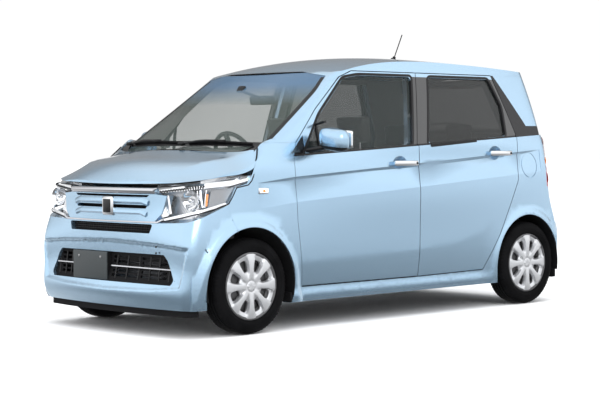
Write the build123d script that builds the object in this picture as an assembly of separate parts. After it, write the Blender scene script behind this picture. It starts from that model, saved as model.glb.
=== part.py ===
# Kei car: a five-door hatchback of the light class, right-hand drive, with front-wheel drive.
# Millimetres. +X forward, +Y to the left, +Z up. The origin is on the ground, under the middle
# of the overall length. Every piece is a solid of its own and is written to parts/NODE.step.
from build123d import *
import math
import os

# ---- driving dimensions ------------------------------------------------------------------
WHEELBASE = 2520
FRONT_OVERHANG = 520
REAR_OVERHANG = 355
WIDTH = 1475
TRACK = 1305
BELT_RISE = 0.0525           # rise of the window line towards the rear, per mm

TYRE_RADIUS = 278
TYRE_WIDTH = 157
RIM_SEAT = 178               # radius of the rim under the tyre
RIM_FLANGE = 196
RIM_HALF = 68                # half width over the rim flanges
FRONT_ARCH = 340             # radius of the wheel openings
REAR_ARCH = 328
FRONT_ARCH_DEPTH = 340       # from the body side in to the inner wall of the wheelhouse
REAR_ARCH_DEPTH = 215

DOOR_WALL = 45               # thickness of the doors and of the lower body walls
FRAME_WALL = 36              # thickness of the pillars and window frames
ROOF_WALL = 34
HOOD_WALL = 24
PILLAR_DEPTH = 42            # of the inner pillars, behind the doors
SHUT = 5                     # gap round doors, hood and tailgate
FIT = 0.3                    # gap between a piece and its seat
SEAM = 0.6                   # gap between fixed panels
SEAT_PAD = 24                # width of a hinge or latch pad
GLASS = 5                    # thickness of the windows
GLASS_INSET = 11             # of the window glass behind the body surface
SCREEN_INSET = 2             # of the windscreen behind the body surface

KINGPIN_LOW = (0, 608, 180)  # ball joint of the front knuckle: x from the axle, y, z
KINGPIN_TOP = (-15, 515, 770)

LENGTH = FRONT_OVERHANG + WHEELBASE + REAR_OVERHANG
NOSE = LENGTH / 2
TAIL = -LENGTH / 2
FA = NOSE - FRONT_OVERHANG   # front axle
RA = FA - WHEELBASE          # rear axle
MID = (FA + RA) / 2
HALF = WIDTH / 2
WHEEL_Y = TRACK / 2
BELT_Z = 1067                # height of the window line over MID

# ---- forms -------------------------------------------------------------------------------
# Plan sections of the lower body. Columns: height; nose set back from the front end; tail set
# in from the rear end; bow of nose; bow of tail; side in from the half width at mid length, at
# the nose corner and at the tail corner; radius of the nose corner and of the tail corner.
LOWER = [
    (160, 34, 22, 52, 12, 38, 62, 42, 60, 40),
    (235, 3, 11, 54, 12, 18, 42, 27, 62, 40),
    (300, 10, 7, 48, 12, 12, 34, 22, 62, 40),
    (390, 39, 4, 24, 12, 7, 27, 18, 64, 40),
    (520, 42, 6, 20, 14, 4, 25, 17, 72, 42),
    (620, 46, 26, 40, 20, 2, 30, 20, 84, 50),
    (740, 52, 46, 70, 28, 0, 40, 25, 104, 60),
    (870, 60, 54, 74, 30, 4, 48, 32, 118, 60),
    (1010, 92, 68, 85, 30, 16, 62, 46, 130, 62),
    (1190, 140, 100, 95, 30, 37, 85, 78, 140, 66),
]
# Plan sections of the cabin above the window line, with the same columns.
UPPER = [
    (960, 376, 60, 175, 30, 20, 42, 60, 96, 66),
    (1150, 654, 96, 166, 28, 47, 70, 72, 92, 66),
    (1350, 958, 134, 150, 26, 85, 108, 110, 88, 74),
    (1560, 1274, 188, 128, 24, 134, 148, 158, 84, 80),
    (1700, 1485, 224, 118, 22, 176, 180, 196, 84, 84),
]
# Sections of the hood surface. Columns: back from the nose; height on the centre line; half
# width and height of the crest; height out at the side.
HOOD = [
    (800, 1118, 650, 1092, 1010),
    (610, 1080, 610, 1055, 930),
    (430, 1044, 562, 1006, 830),
    (255, 1008, 505, 962, 812),
    (140, 960, 445, 904, 812),
    (75, 890, 420, 868, 800),
    (-30, 700, 400, 720, 700),
]
# Sections of the roof surface. Columns: back from the nose; height on the centre line; height
# out at the side.
ROOF = [
    (1000, 1420, 1370),
    (1200, 1514, 1430),
    (1400, 1580, 1487),
    (1650, 1630, 1532),
    (2000, 1655, 1556),
    (2400, 1652, 1552),
    (2850, 1633, 1532),
    (3300, 1600, 1498),
]
CUTTER_SIDE = 900            # half width of the cutting bodies
CUTTER_TOP = 2100


def plan_section(row, inset):
    z, nose, tail, nose_bow, tail_bow, side, nose_side, tail_side, nose_r, tail_r = row
    front = NOSE - nose - inset
    rear = TAIL + tail + inset
    corner_x = front - nose_bow
    tail_x = rear + tail_bow
    mid_y = HALF - side - inset
    corner_y = HALF - nose_side - inset
    tail_y = HALF - tail_side - inset
    face = make_face([
        ThreePointArc((corner_x, -corner_y), (front, 0), (corner_x, corner_y)),
        ThreePointArc((corner_x, corner_y), (MID, mid_y), (tail_x, tail_y)),
        ThreePointArc((tail_x, tail_y), (rear, 0), (tail_x, -tail_y)),
        ThreePointArc((tail_x, -tail_y), (MID, -mid_y), (corner_x, -corner_y)),
    ])
    face = fillet(face.vertices().sort_by(Axis.X)[2:4], max(nose_r - inset, 12))
    face = fillet(face.vertices().sort_by(Axis.X)[0:2], max(tail_r - inset, 12))
    return Pos(0, 0, z) * face


def cross_section(x, crown, half, crest, side):
    """A face across the car at x, above a surface with a crown and two shoulders."""
    points = [(half, crest), (CUTTER_SIDE, side), (CUTTER_SIDE, CUTTER_TOP)]
    lines = [ThreePointArc((-half, crest), (0, crown), (half, crest))]
    lines += [Line(a, b) for a, b in zip(points, points[1:])]
    lines += [Line((-a[0], a[1]), (-b[0], b[1])) for a, b in zip(points, points[1:])]
    lines += [Line(points[-1], (-points[-1][0], points[-1][1]))]
    return Plane(origin=(x, 0, 0), x_dir=(0, 1, 0), z_dir=(1, 0, 0)) * make_face(lines)


def above_hood():
    return loft([cross_section(NOSE - x, crown, half, crest, side)
                 for x, crown, half, crest, side in HOOD])


def above_roof():
    faces = []
    for x, crown, side in ROOF:
        arc = ThreePointArc((-CUTTER_SIDE, side), (0, crown), (CUTTER_SIDE, side))
        rest = Polyline((CUTTER_SIDE, side), (CUTTER_SIDE, CUTTER_TOP),
                        (-CUTTER_SIDE, CUTTER_TOP), (-CUTTER_SIDE, side))
        plane = Plane(origin=(NOSE - x, 0, 0), x_dir=(0, 1, 0), z_dir=(1, 0, 0))
        faces.append(plane * make_face([arc] + list(rest.edges())))
    return loft(faces)


def belt(x):
    return BELT_Z + (MID - x) * BELT_RISE


def side_prism(points, inner, outer, radius=0, grow=0):
    """A prism seen from the side: points are (x, z); it runs from y=inner to y=outer."""
    face = Plane.XZ * outline(points, radius, grow)
    return Pos(0, outer, 0) * extrude(face, amount=outer - inner)


def end_prism(points, x0, x1, radius=0, grow=0):
    """A prism seen from the front or rear: points are (y, z); it runs from x0 to x1."""
    face = Plane.YZ * outline(points, radius, grow)
    return Pos(x0, 0, 0) * extrude(face, amount=x1 - x0)


def outline(points, radius, grow):
    """A face inside the points, with its edges moved outward and its corners rounded."""
    turns = zip(points, points[1:] + points[:1])
    if sum(a[0] * b[1] - b[0] * a[1] for a, b in turns) < 0:
        points = points[::-1]
    if grow:
        points = grown(points, grow)
    if not radius:
        return make_face(Polyline(*points, close=True))
    return make_face(FilletPolyline(*points, radius=radius + grow, close=True))


def grown(points, amount):
    """Points of an anticlockwise outline whose edges are moved outward."""
    moved = []
    for before, here, after in zip(points[-1:] + points[:-1], points, points[1:] + points[:1]):
        one = (Vector(*here) - Vector(*before)).normalized()
        two = (Vector(*after) - Vector(*here)).normalized()
        share = amount / (1 + one.dot(two))
        moved.append((here[0] + (one.Y + two.Y) * share, here[1] - (one.X + two.X) * share))
    return moved


def both_sides(points):
    """Points (y, z) of the left half, from top to bottom, closed over the centre line."""
    return points + [(-y, z) for y, z in reversed(points)]


def block(x0, x1, y0, y1, z0, z1):
    return Pos((x0 + x1) / 2, (y0 + y1) / 2, (z0 + z1) / 2) * Box(x1 - x0, y1 - y0, z1 - z0)


def rod(a, b, radius):
    """A round bar from point a to point b."""
    a, b = Vector(*a), Vector(*b)
    plane = Plane(origin=a, z_dir=(b - a))
    return plane * Cylinder(radius, (b - a).length, align=(Align.CENTER, Align.CENTER, Align.MIN))


def mirrored(shape):
    return mirror(shape, about=Plane.XZ)


def only_solids(shape, keep=1):
    """The largest solids of a cut shape, without the slivers."""
    solids = sorted(shape.solids(), key=lambda s: -s.volume)[:keep]
    return solids[0] if keep == 1 else Compound(children=solids)


# ---- outlines in the side view (x, z) -----------------------------------------------------
DOOR_BOTTOM = 250
DOOR_TOP = 1540
SILL_BOTTOM = 160
DOOR_FRONT = FA - 353        # foremost point of the front door
B_LINE = MID - 172           # shut line between the doors, at the window line
REAR_DOOR_END = RA + 76      # rearmost point of the rear door
BUMPER_TOP_REAR = 565
GRILLE_BOTTOM = 647
LAMP_TIP = (FA - 22, 918)

FRONT_DOOR = [
    (DOOR_FRONT - 62, DOOR_BOTTOM), (DOOR_FRONT - 10, 640), (DOOR_FRONT, 1000),
    (DOOR_FRONT - 38, 1100), (DOOR_FRONT - 236, 1300), (DOOR_FRONT - 480, 1500),
    (DOOR_FRONT - 590, DOOR_TOP), (B_LINE - 80, DOOR_TOP), (B_LINE, 1080), (B_LINE + 8, 640),
    (B_LINE + 8, DOOR_BOTTOM),
]
REAR_DOOR = [
    (B_LINE + 8, DOOR_BOTTOM), (B_LINE + 8, 640), (B_LINE, 1080), (B_LINE - 80, DOOR_TOP),
    (REAR_DOOR_END + 175, DOOR_TOP), (REAR_DOOR_END, 1150), (REAR_DOOR_END + 20, 840),
    (RA + 300, 480), (RA + 460, DOOR_BOTTOM + 8),
]
FRONT_WINDOW = [
    (DOOR_FRONT - 95, belt(700) + 8), (DOOR_FRONT - 262, 1265), (DOOR_FRONT - 510, 1492),
    (DOOR_FRONT - 640, 1512), (B_LINE - 28, 1512), (B_LINE + 48, belt(B_LINE) + 8),
]
REAR_WINDOW = [
    (B_LINE - 112, belt(B_LINE) + 8), (B_LINE - 196, 1512), (REAR_DOOR_END + 215, 1512),
    (REAR_DOOR_END + 120, 1330), (REAR_DOOR_END + 112, belt(REAR_DOOR_END) + 8),
]
LAMP_SIDE = [
    (NOSE + 20, GRILLE_BOTTOM), (FA + 455, GRILLE_BOTTOM), (FA + 165, 748), (FA + 107, 846),
    (FA + 20, 868), LAMP_TIP, (NOSE + 20, 848),
]
HOOD_SIDE = [
    (NOSE + 20, 848 + SHUT), (LAMP_TIP[0], LAMP_TIP[1] + SHUT), (FA - 68, 1010),
    (FA - 120, 1078), (FA - 120, 1200), (NOSE + 20, 1200),
]
FENDER_SIDE = [
    (DOOR_FRONT - 62, SILL_BOTTOM), (DOOR_FRONT - 62, DOOR_BOTTOM), (DOOR_FRONT - 10, 640),
    (DOOR_FRONT, 1000), (DOOR_FRONT - 38, 1100), (FA - 150, 1100), (FA - 120, 1078),
    (FA - 68, 1010), LAMP_TIP, (FA + 20, 868), (FA + 107, 846), (FA + 165, 748),
    (FA + 112, 590), (FA + 60, SILL_BOTTOM),
]
FRONT_BUMPER_SIDE = [
    (FA + 112, 590), (FA + 165, 748), (FA + 455, GRILLE_BOTTOM), (NOSE + 20, GRILLE_BOTTOM),
    (NOSE + 20, 100), (FA + 60, 100),
]
REAR_BUMPER_SIDE = [
    (RA - 100, SILL_BOTTOM - 20), (RA - 200, BUMPER_TOP_REAR - 30), (RA - 262, BUMPER_TOP_REAR),
    (TAIL - 20, BUMPER_TOP_REAR), (TAIL - 20, SILL_BOTTOM - 20),
]
# Outlines in the front and rear views (y, z), left half from top to bottom.
GRILLE_FRONT = [(412, 849), (398, 811), (486, 803), (456, 700), (400, 652), (395, GRILLE_BOTTOM)]
SLOT_FRONT = [(392, 640), (372, 588)]
LOWER_GRILLE_FRONT = [(487, 470), (520, 438), (580, 330), (560, 300)]
SCREEN_FRONT = [(330, 1540), (540, 1508), (566, 1440), (636, 1092), (560, 1040)]
TAILGATE_REAR = [(440, 1536), (508, 1515), (588, 1160), (604, 1000), (590, 760),
                 (560, BUMPER_TOP_REAR + SHUT)]
REAR_SCREEN = [(440, 1500), (478, 1480), (530, 1190), (510, 1165)]
TAIL_LAMP_REAR = [(586, 1150), (604, 1000), (592, 790), (740, 790), (740, 1150)]

ROOF_SIDE = [
    (TAIL, DOOR_TOP), (DOOR_FRONT - 590, DOOR_TOP), (DOOR_FRONT - 480, 1500),
    (DOOR_FRONT - 400, 1472), (DOOR_FRONT - 300, 1472), (DOOR_FRONT - 300, 1750), (TAIL, 1750),
]
QUARTER_TRIM = [
    (REAR_DOOR_END, 1150), (REAR_DOOR_END + 175, DOOR_TOP), (REAR_DOOR_END + 150, DOOR_TOP),
    (REAR_DOOR_END - 130, 1204), (TAIL + 60, 1204), (TAIL + 60, belt(TAIL + 60)),
    (REAR_DOOR_END, belt(REAR_DOOR_END)),
]

parts = {}


def add(name, shape):
    parts[name] = shape


# ---- body forms ---------------------------------------------------------------------------
hood_space = above_hood()
roof_space = above_roof()
over_belt = side_prism([(NOSE - 790, belt(NOSE - 790)), (TAIL - 50, belt(TAIL - 50)),
                        (TAIL - 50, 1400), (NOSE - 790, 1400)], -CUTTER_SIDE, CUTTER_SIDE)
FRAME_DEPTH = SHUT + PILLAR_DEPTH


def lower_form(inset, hood_drop=0):
    form = loft([plan_section(row, inset) for row in LOWER])
    return form - Pos(0, 0, -hood_drop) * hood_space - over_belt


def upper_form(inset, roof_drop=0):
    return loft([plan_section(row, inset) for row in UPPER]) - Pos(0, 0, -roof_drop) * roof_space


def wheel_cylinder(x, radius, depth, side):
    """The space of a wheelhouse, from its inner wall out past the body side."""
    outer = HALF + 60
    inner = HALF - depth
    y0, y1 = (inner, outer) if side > 0 else (-outer, -inner)
    return Pos(x, (y0 + y1) / 2, TYRE_RADIUS) * Rot(90, 0, 0) * Cylinder(radius, y1 - y0)


def flare(x, radius, proud):
    """The raised lip round a wheel opening, fading into the body side."""
    profile = make_face(Polyline(
        (radius - 20, HALF - 70), (radius + 95, HALF - 70), (radius + 95, HALF - 34),
        (radius + 14, HALF - 2), (radius - 20, HALF), close=True))
    ring = revolve(Plane(origin=(0, 0, 0), x_dir=(1, 0, 0), z_dir=(0, 0, 1)) * profile, Axis.Y)
    ring = Pos(x, 0, TYRE_RADIUS) * ring & block(x - 450, x + 450, 0, HALF + 10, SILL_BOTTOM, 900)
    return ring & loft([plan_section(row, -proud) for row in LOWER])


def left_half(shape):
    return shape & block(TAIL - 50, NOSE + 50, 0, CUTTER_SIDE, 0, CUTTER_TOP)


def side_at(x, z):
    """Distance from the middle plane to the lower body's side, at station x and height z."""
    low = max((row for row in LOWER if row[0] <= z), key=lambda row: row[0])
    high = min((row for row in LOWER if row[0] > z), key=lambda row: row[0])
    t = (z - low[0]) / (high[0] - low[0])
    row = [a + (b - a) * t for a, b in zip(low, high)]
    front = NOSE - row[1] - row[3]
    rear = TAIL + row[2] + row[4]
    sides = (front, HALF - row[6]), (MID, HALF - row[5]), (rear, HALF - row[7])
    (x0, y0), (x1, y1), (x2, y2) = sides
    return (y0 * (x - x1) * (x - x2) / ((x0 - x1) * (x0 - x2))
            + y1 * (x - x0) * (x - x2) / ((x1 - x0) * (x1 - x2))
            + y2 * (x - x0) * (x - x1) / ((x2 - x0) * (x2 - x1)))


# The crease along the side. Columns: x; height; depth; width of the band under the edge.
CREASE = [
    (FA - 68, 870, 0.4, 4), (FA - 350, 900, 7, 20), (B_LINE - 120, 974, 8, 22),
    (TAIL + 420, 1030, 7, 20), (TAIL + 190, 1044, 0.4, 4),
]
CREASE_FADE = 150            # height over which the side comes back out below the band


def crease_cutter():
    """A long wedge that leaves an overhanging edge with a slope below it."""
    sections = []
    for x, z, depth, band in CREASE:
        out = 12
        edge = side_at(x, z)
        foot = side_at(x, z - CREASE_FADE)
        sections.append(Plane.YZ.offset(x) * make_face(Polyline(
            (edge, z), (side_at(x, z - band) - depth, z - band), (foot, z - CREASE_FADE),
            (foot + out, z - CREASE_FADE), (edge + out, z), close=True)))
    return loft(sections, ruled=True)


ARCHES = [(FA, FRONT_ARCH, FRONT_ARCH_DEPTH), (RA, REAR_ARCH, REAR_ARCH_DEPTH)]
arches = [wheel_cylinder(*arch, side) for arch in ARCHES for side in (1, -1)]
lower_out = lower_form(0)
upper_out = upper_form(0)
for x, radius, proud in ((FA, FRONT_ARCH, 20), (RA, REAR_ARCH, 9)):
    lip = flare(x, radius, proud)
    lower_out = lower_out + lip + mirrored(lip)
lower_in = lower_form(DOOR_WALL, HOOD_WALL)
upper_in = upper_form(FRAME_WALL, ROOF_WALL)
lower_deep = lower_form(DOOR_WALL + FRAME_DEPTH, HOOD_WALL)
upper_deep = upper_form(FRAME_WALL + FRAME_DEPTH, ROOF_WALL)
lower_flange = lower_form(DOOR_WALL + SHUT)
upper_flange = upper_form(FRAME_WALL + SHUT)
crease = crease_cutter()
body_left = left_half(lower_out + upper_out) - crease
wall_left = body_left - lower_in - upper_in - arches[0] - arches[2]
deep_left = body_left - lower_deep - upper_deep - arches[0] - arches[2]

WIDE = (-CUTTER_SIDE, CUTTER_SIDE)
LEFT = (0, CUTTER_SIDE)
screen_hole = end_prism(both_sides(SCREEN_FRONT), NOSE - 1500, NOSE)
tailgate_hole = end_prism(both_sides(TAILGATE_REAR), TAIL - 20, RA - 90, grow=SHUT / 2)
tail_lamp_zone = end_prism(TAIL_LAMP_REAR, TAIL - 20, RA - 225)
grille_zone = end_prism(both_sides(GRILLE_FRONT), FA + 250, NOSE + 30)
lamp_zone = side_prism(LAMP_SIDE, *WIDE)
cowl_zone = block(FA - 330, FA + 60, -640, 640, 850, 1100)
front_bumper_zone = side_prism(FRONT_BUMPER_SIDE, *WIDE)
rear_bumper_zone = side_prism(REAR_BUMPER_SIDE, *WIDE)
roof_zone = side_prism(ROOF_SIDE, *WIDE)

# ---- side frames: sill, pillars, quarter panel with the wheel opening --------------------------
FLANGE = 34                  # width of the flange that the doors close on
TRIM_SKIN = 6
door_holes = (side_prism(FRONT_DOOR, *LEFT, grow=SHUT / 2)
              + side_prism(REAR_DOOR, *LEFT, grow=SHUT / 2))
step = door_holes - lower_flange - upper_flange
passages = [side_prism(side, *LEFT, grow=-FLANGE) for side in (FRONT_DOOR, REAR_DOOR)]
front_of_pillar = side_prism([
    (DOOR_FRONT - 62, 0), (DOOR_FRONT - 62, DOOR_BOTTOM), (DOOR_FRONT - 10, 640),
    (DOOR_FRONT, 1000), (DOOR_FRONT - 38, 1100), (NOSE + 20, 1100), (NOSE + 20, 0)], *WIDE,
    grow=SEAM)
trim_core = Pos(TRIM_SKIN / 2, -TRIM_SKIN, 0) * upper_out
trim = (upper_out & side_prism(QUARTER_TRIM, *LEFT)).cut(
    trim_core, tailgate_hole, tail_lamp_zone, side_prism(REAR_DOOR, *LEFT, grow=SHUT / 2))
trim = only_solids(trim)
trim_pocket = side_prism(QUARTER_TRIM, *LEFT, grow=FIT) - Pos(FIT, -FIT, 0) * trim_core
side_frame = deep_left.cut(front_of_pillar, step, *passages, roof_zone, screen_hole, tailgate_hole,
                           tail_lamp_zone, rear_bumper_zone, trim_pocket)
side_frame = only_solids(side_frame)


# ---- fuel flap, on the left only ----------------------------------------------------------------
FLAP_CENTRE = (TAIL + 318, 938)
FLAP_RADIUS = 80
FLAP_WALL = 6
flap_zone = rod((FLAP_CENTRE[0], HALF - 120, FLAP_CENTRE[1]),
                (FLAP_CENTRE[0], HALF + 60, FLAP_CENTRE[1]), FLAP_RADIUS)
flap_hole = rod((FLAP_CENTRE[0], HALF - 120, FLAP_CENTRE[1]),
                (FLAP_CENTRE[0], HALF + 60, FLAP_CENTRE[1]), FLAP_RADIUS + SHUT)
flap = only_solids((body_left & flap_zone) - lower_form(FLAP_WALL))
add("fuel_flap", flap)
flap_pocket = flap_hole - lower_form(FLAP_WALL + FIT)


# ---- doors ------------------------------------------------------------------------------------
HANDLE_LENGTH = 210
HANDLE_HEIGHT = 30
HANDLE_PROUD = 34            # from the door surface out to the face of the bar
HANDLE_BAR = 16              # depth of the bar
CUP = (75, 58, 16)           # half length, half height and depth of the cup behind the bar
HANDLES = {"front": (B_LINE + 183, 968), "rear": (REAR_DOOR_END + 251, 1022)}


def handle(x, z):
    """The bar with its two feet, and the cup behind it."""
    y = side_at(x, z)
    face = y + HANDLE_PROUD
    bar = fillet(block(x - HANDLE_LENGTH + 75, x + 75, face - HANDLE_BAR, face,
                       z - HANDLE_HEIGHT / 2, z + HANDLE_HEIGHT / 2).edges(), 7)
    feet = [block(a, b, y - 20, face - HANDLE_BAR / 2, z - 10, z + 10)
            for a, b in ((x + 50, x + 70), (x - HANDLE_LENGTH + 80, x - HANDLE_LENGTH + 130))]
    hollow = scale(Sphere(1), by=(CUP[0], 2 * CUP[2], CUP[1]))
    return bar.fuse(*feet), Pos(x, y + CUP[2], z) * hollow


door_inside = upper_form(FRAME_WALL)    # up to the roof, so that the frame passes behind it


def door(edge, window):
    panel = (wall_left & side_prism(edge, *LEFT, grow=-SHUT / 2)) - door_inside
    return only_solids(panel - side_prism(window, *LEFT, radius=24))


glass_out = upper_form(GLASS_INSET)
glass_in = upper_form(GLASS_INSET + GLASS)
glass_skin = left_half(glass_out) - glass_in
for name, edge, window in (("front", FRONT_DOOR, FRONT_WINDOW), ("rear", REAR_DOOR, REAR_WINDOW)):
    bar, cup = handle(*HANDLES[name])
    left_door = only_solids((door(edge, window) - cup).fuse(bar))
    left_glass = only_solids(glass_skin & side_prism(window, *LEFT, radius=24, grow=-FIT))
    add(f"door_{name}_left", left_door)
    add(f"door_{name}_right", mirrored(left_door))
    add(f"glass_{name}_left", left_glass)
    add(f"glass_{name}_right", mirrored(left_glass))

# Pads on the flanges, where the doors meet their hinges and latches.
PADS = [
    (DOOR_FRONT - 40, 400), (DOOR_FRONT - 30, 820), (B_LINE + 28, 700),
    (B_LINE - 18, 400), (B_LINE - 20, 820), (REAR_DOOR_END + 60, 900),
]
pad_form = lower_form(DOOR_WALL + FIT)
half = SEAT_PAD / 2
pads = [block(x - half, x + half, HALF - 130, HALF, z - half, z + half) & pad_form
        for x, z in PADS]
upper_pad_form = upper_form(FRAME_WALL + FIT)
pads += [block(TAIL + 90, TAIL + 150, y - 26, y + 26, z - half, z + half) & pad_form
         for y, z in ((598, 1040), (592, 760))]
pads += [block(TAIL + 190, TAIL + 250, 490, 545, 1480 - half, 1480 + half) & upper_pad_form]
side_frame = only_solids(side_frame.fuse(*pads))
add("side_frames", Compound(children=[side_frame - flap_pocket, mirrored(side_frame)]))
add("quarter_trims", Compound(children=[trim, mirrored(trim)]))

# ---- front panels --------------------------------------------------------------------------
fender = wall_left & side_prism(FENDER_SIDE, *LEFT, grow=-SEAM / 2)
fender = only_solids(fender - cowl_zone)
add("front_fenders", Compound(children=[fender, mirrored(fender)]))

HOOD_REAR = [(FA - 115, 650), (FA + 45, 0), (FA - 115, -650)]   # rear edge in plan


def behind_hood(gap, y=CUTTER_SIDE):
    """The space behind the rear edge of the hood."""
    (x0, y0), (x1, y1), (x2, y2) = HOOD_REAR
    arc = ThreePointArc((x0 - gap, y0), (x1 - gap, y1), (x2 - gap, y2))
    rest = Polyline((x2 - gap, y2), (x2 - gap, -y), (x2 - 400, -y), (x0 - 400, y),
                    (x0 - gap, y), (x0 - gap, y0))
    return Pos(0, 0, 850) * extrude(make_face([arc] + list(rest.edges())), amount=400)


front_out = lower_out & block(FA - 400, NOSE + 20, *WIDE, 0, 1300)
hood_slab = front_out & (Pos(0, 0, -HOOD_WALL) * hood_space)
hood = only_solids((hood_slab & side_prism(HOOD_SIDE, *WIDE)) - behind_hood(0))
add("hood", hood)
COWL_DROP = 8
COWL_WALL = 30
cowl = front_out & (Pos(0, 0, -COWL_DROP - COWL_WALL) * hood_space)
cowl = (cowl - Pos(0, 0, -COWL_DROP) * hood_space) & behind_hood(SHUT) & block(
    FA - 330 + FIT, FA + 60, -640 + FIT, 640 - FIT, 850, 1100)
cowl = only_solids(cowl - Pos(FIT, 0, 0) * upper_out)
add("cowl", cowl)

nose_wall = front_out - lower_in
bumper_cut = end_prism(both_sides(SLOT_FRONT), FA + 250, NOSE + 30, radius=10)
bumper_cut += end_prism(both_sides(LOWER_GRILLE_FRONT), FA + 250, NOSE + 30, radius=18)
bumper = nose_wall & side_prism(FRONT_BUMPER_SIDE, *WIDE, grow=-SEAM / 2)
add("front_bumper", only_solids(bumper.cut(bumper_cut, arches[0], arches[1])))
LIP_BOTTOM = 122
LIP_INSET = 16
LIP_WIDE = 60
lip_row = (LOWER[0][0] - FIT,) + LOWER[0][1:]
lip_outer = plan_section(lip_row, LIP_INSET)
lip = extrude(lip_outer - plan_section(lip_row, LIP_INSET + LIP_WIDE), amount=-(LOWER[0][0] - LIP_BOTTOM))
lip = lip & block(FA + FRONT_ARCH + 8, NOSE, *WIDE, 100, 200)
add("front_lip", only_solids(lip))
top = nose_wall & side_prism(LAMP_SIDE, *WIDE, grow=-SEAM / 2)
lamp_front = GRILLE_FRONT + [(GRILLE_FRONT[-1][0], 600), (CUTTER_SIDE, 600), (CUTTER_SIDE, 950),
                             (GRILLE_FRONT[0][0], 950)]
lamp = only_solids(top & end_prism(lamp_front, FA - 100, NOSE + 30, grow=-SEAM))
add("headlamps", Compound(children=[lamp, mirrored(lamp)]))

GRILLE_SLOTS = [(748, 728, 342), (806, 793, 350)]   # top, bottom, half width
grille = top & grille_zone
for high, low, half in GRILLE_SLOTS:
    grille = grille - end_prism([(half, high), (half - 18, low), (18 - half, low), (-half, high)],
                                FA + 250, NOSE + 30)
add("upper_grille", only_solids(grille))

# The dark grilles behind the two bumper openings, with their bars.
GRILLE_INSET = 30
GRILLE_BARS = 5
mesh_wall = (front_out & block(FA + 250, NOSE, *WIDE, 280, 680)) & lower_form(GRILLE_INSET)
mesh_wall = mesh_wall - lower_form(GRILLE_INSET + 14)
lower_grille = mesh_wall & end_prism(both_sides(LOWER_GRILLE_FRONT), FA + 250, NOSE + 30,
                                     radius=18, grow=-FIT)
PITCH = 26
for k in range(GRILLE_BARS):
    z = LOWER_GRILLE_FRONT[0][1] - 30 - k * PITCH
    for y0, y1 in ((-500, -350), (18, 260), (280, 500)):
        lower_grille = lower_grille - block(FA + 250, NOSE, y0, y1, z - 8, z + 8)
PLATE = (330, 165, 10)       # width, height, depth
PLATE_Y = -172
PLATE_Z = 385
PLATE_X = NOSE - 46
plate = block(PLATE_X - 40, PLATE_X, PLATE_Y - PLATE[0] / 2, PLATE_Y + PLATE[0] / 2,
              PLATE_Z - PLATE[1] / 2, PLATE_Z + PLATE[1] / 2)
PLATE_HOLES = (210, 3.5)     # spacing and radius
plate_holes = [rod((PLATE_X - 50, PLATE_Y + side * PLATE_HOLES[0] / 2, PLATE_Z + 50),
                   (PLATE_X + 10, PLATE_Y + side * PLATE_HOLES[0] / 2, PLATE_Z + 50), PLATE_HOLES[1])
               for side in (1, -1)]
lower_grille = only_solids(lower_grille.fuse(plate).cut(*plate_holes))
slot_grille = mesh_wall & end_prism(both_sides(SLOT_FRONT), FA + 250, NOSE + 30,
                                    radius=10, grow=-FIT)
add("lower_grille", Compound(children=[lower_grille, only_solids(slot_grille)]))

screen_skin = upper_form(SCREEN_INSET) - upper_form(SCREEN_INSET + GLASS)
screen = screen_skin & end_prism(both_sides(SCREEN_FRONT), NOSE - 1500, NOSE, grow=-FIT)
screen = only_solids(screen)
add("windshield", screen)

# ---- roof and rear panels -------------------------------------------------------------------
roof = (upper_out - upper_in) & side_prism(ROOF_SIDE, *WIDE, grow=-SEAM / 2)
roof = only_solids(roof - screen_hole - tailgate_hole)
add("roof_panel", roof)
rear_out = (lower_out + upper_out) & block(TAIL - 20, RA - 90, *WIDE, 100, 1700)
rear_wall = rear_out - lower_in - upper_in
tailgate = rear_wall & end_prism(both_sides(TAILGATE_REAR), TAIL - 20, RA - 90, grow=-SHUT / 2)
rear_hole = end_prism(both_sides(REAR_SCREEN), TAIL - 20, RA - 90, radius=30)
add("tailgate", only_solids(tailgate - rear_hole))
rear_glass = (glass_out - glass_in) & end_prism(both_sides(REAR_SCREEN), TAIL - 20, RA - 90,
                                                radius=30, grow=-FIT)
add("tailgate_glass", only_solids(rear_glass))
tail_lamp = rear_wall & end_prism(TAIL_LAMP_REAR, TAIL - 20, RA - 225 - FIT, grow=-FIT)
tail_lamp = only_solids(tail_lamp - tailgate_hole)
add("tail_lamps", Compound(children=[tail_lamp, mirrored(tail_lamp)]))
rear_bumper = (lower_out - lower_in) & side_prism(REAR_BUMPER_SIDE, *WIDE, grow=-SEAM / 2)
rear_bumper = only_solids(rear_bumper - arches[2] - arches[3] - tailgate_hole)
add("rear_bumper", rear_bumper)


# ---- wheels ---------------------------------------------------------------------------------
BEAD_HALF = 60.5             # half width between the rim flanges


def revolved(half_profile, mirrored_too=True):
    """A ring about Y from lines and arcs of (radius, y) points: pairs are lines, triples arcs."""
    edges = [Line(*points) if len(points) == 2 else ThreePointArc(*points)
             for points in half_profile]
    if mirrored_too:
        edges += [mirror(edge, about=Plane.XZ) for edge in edges]
    return revolve(make_face(edges), Axis.Y)


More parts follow.
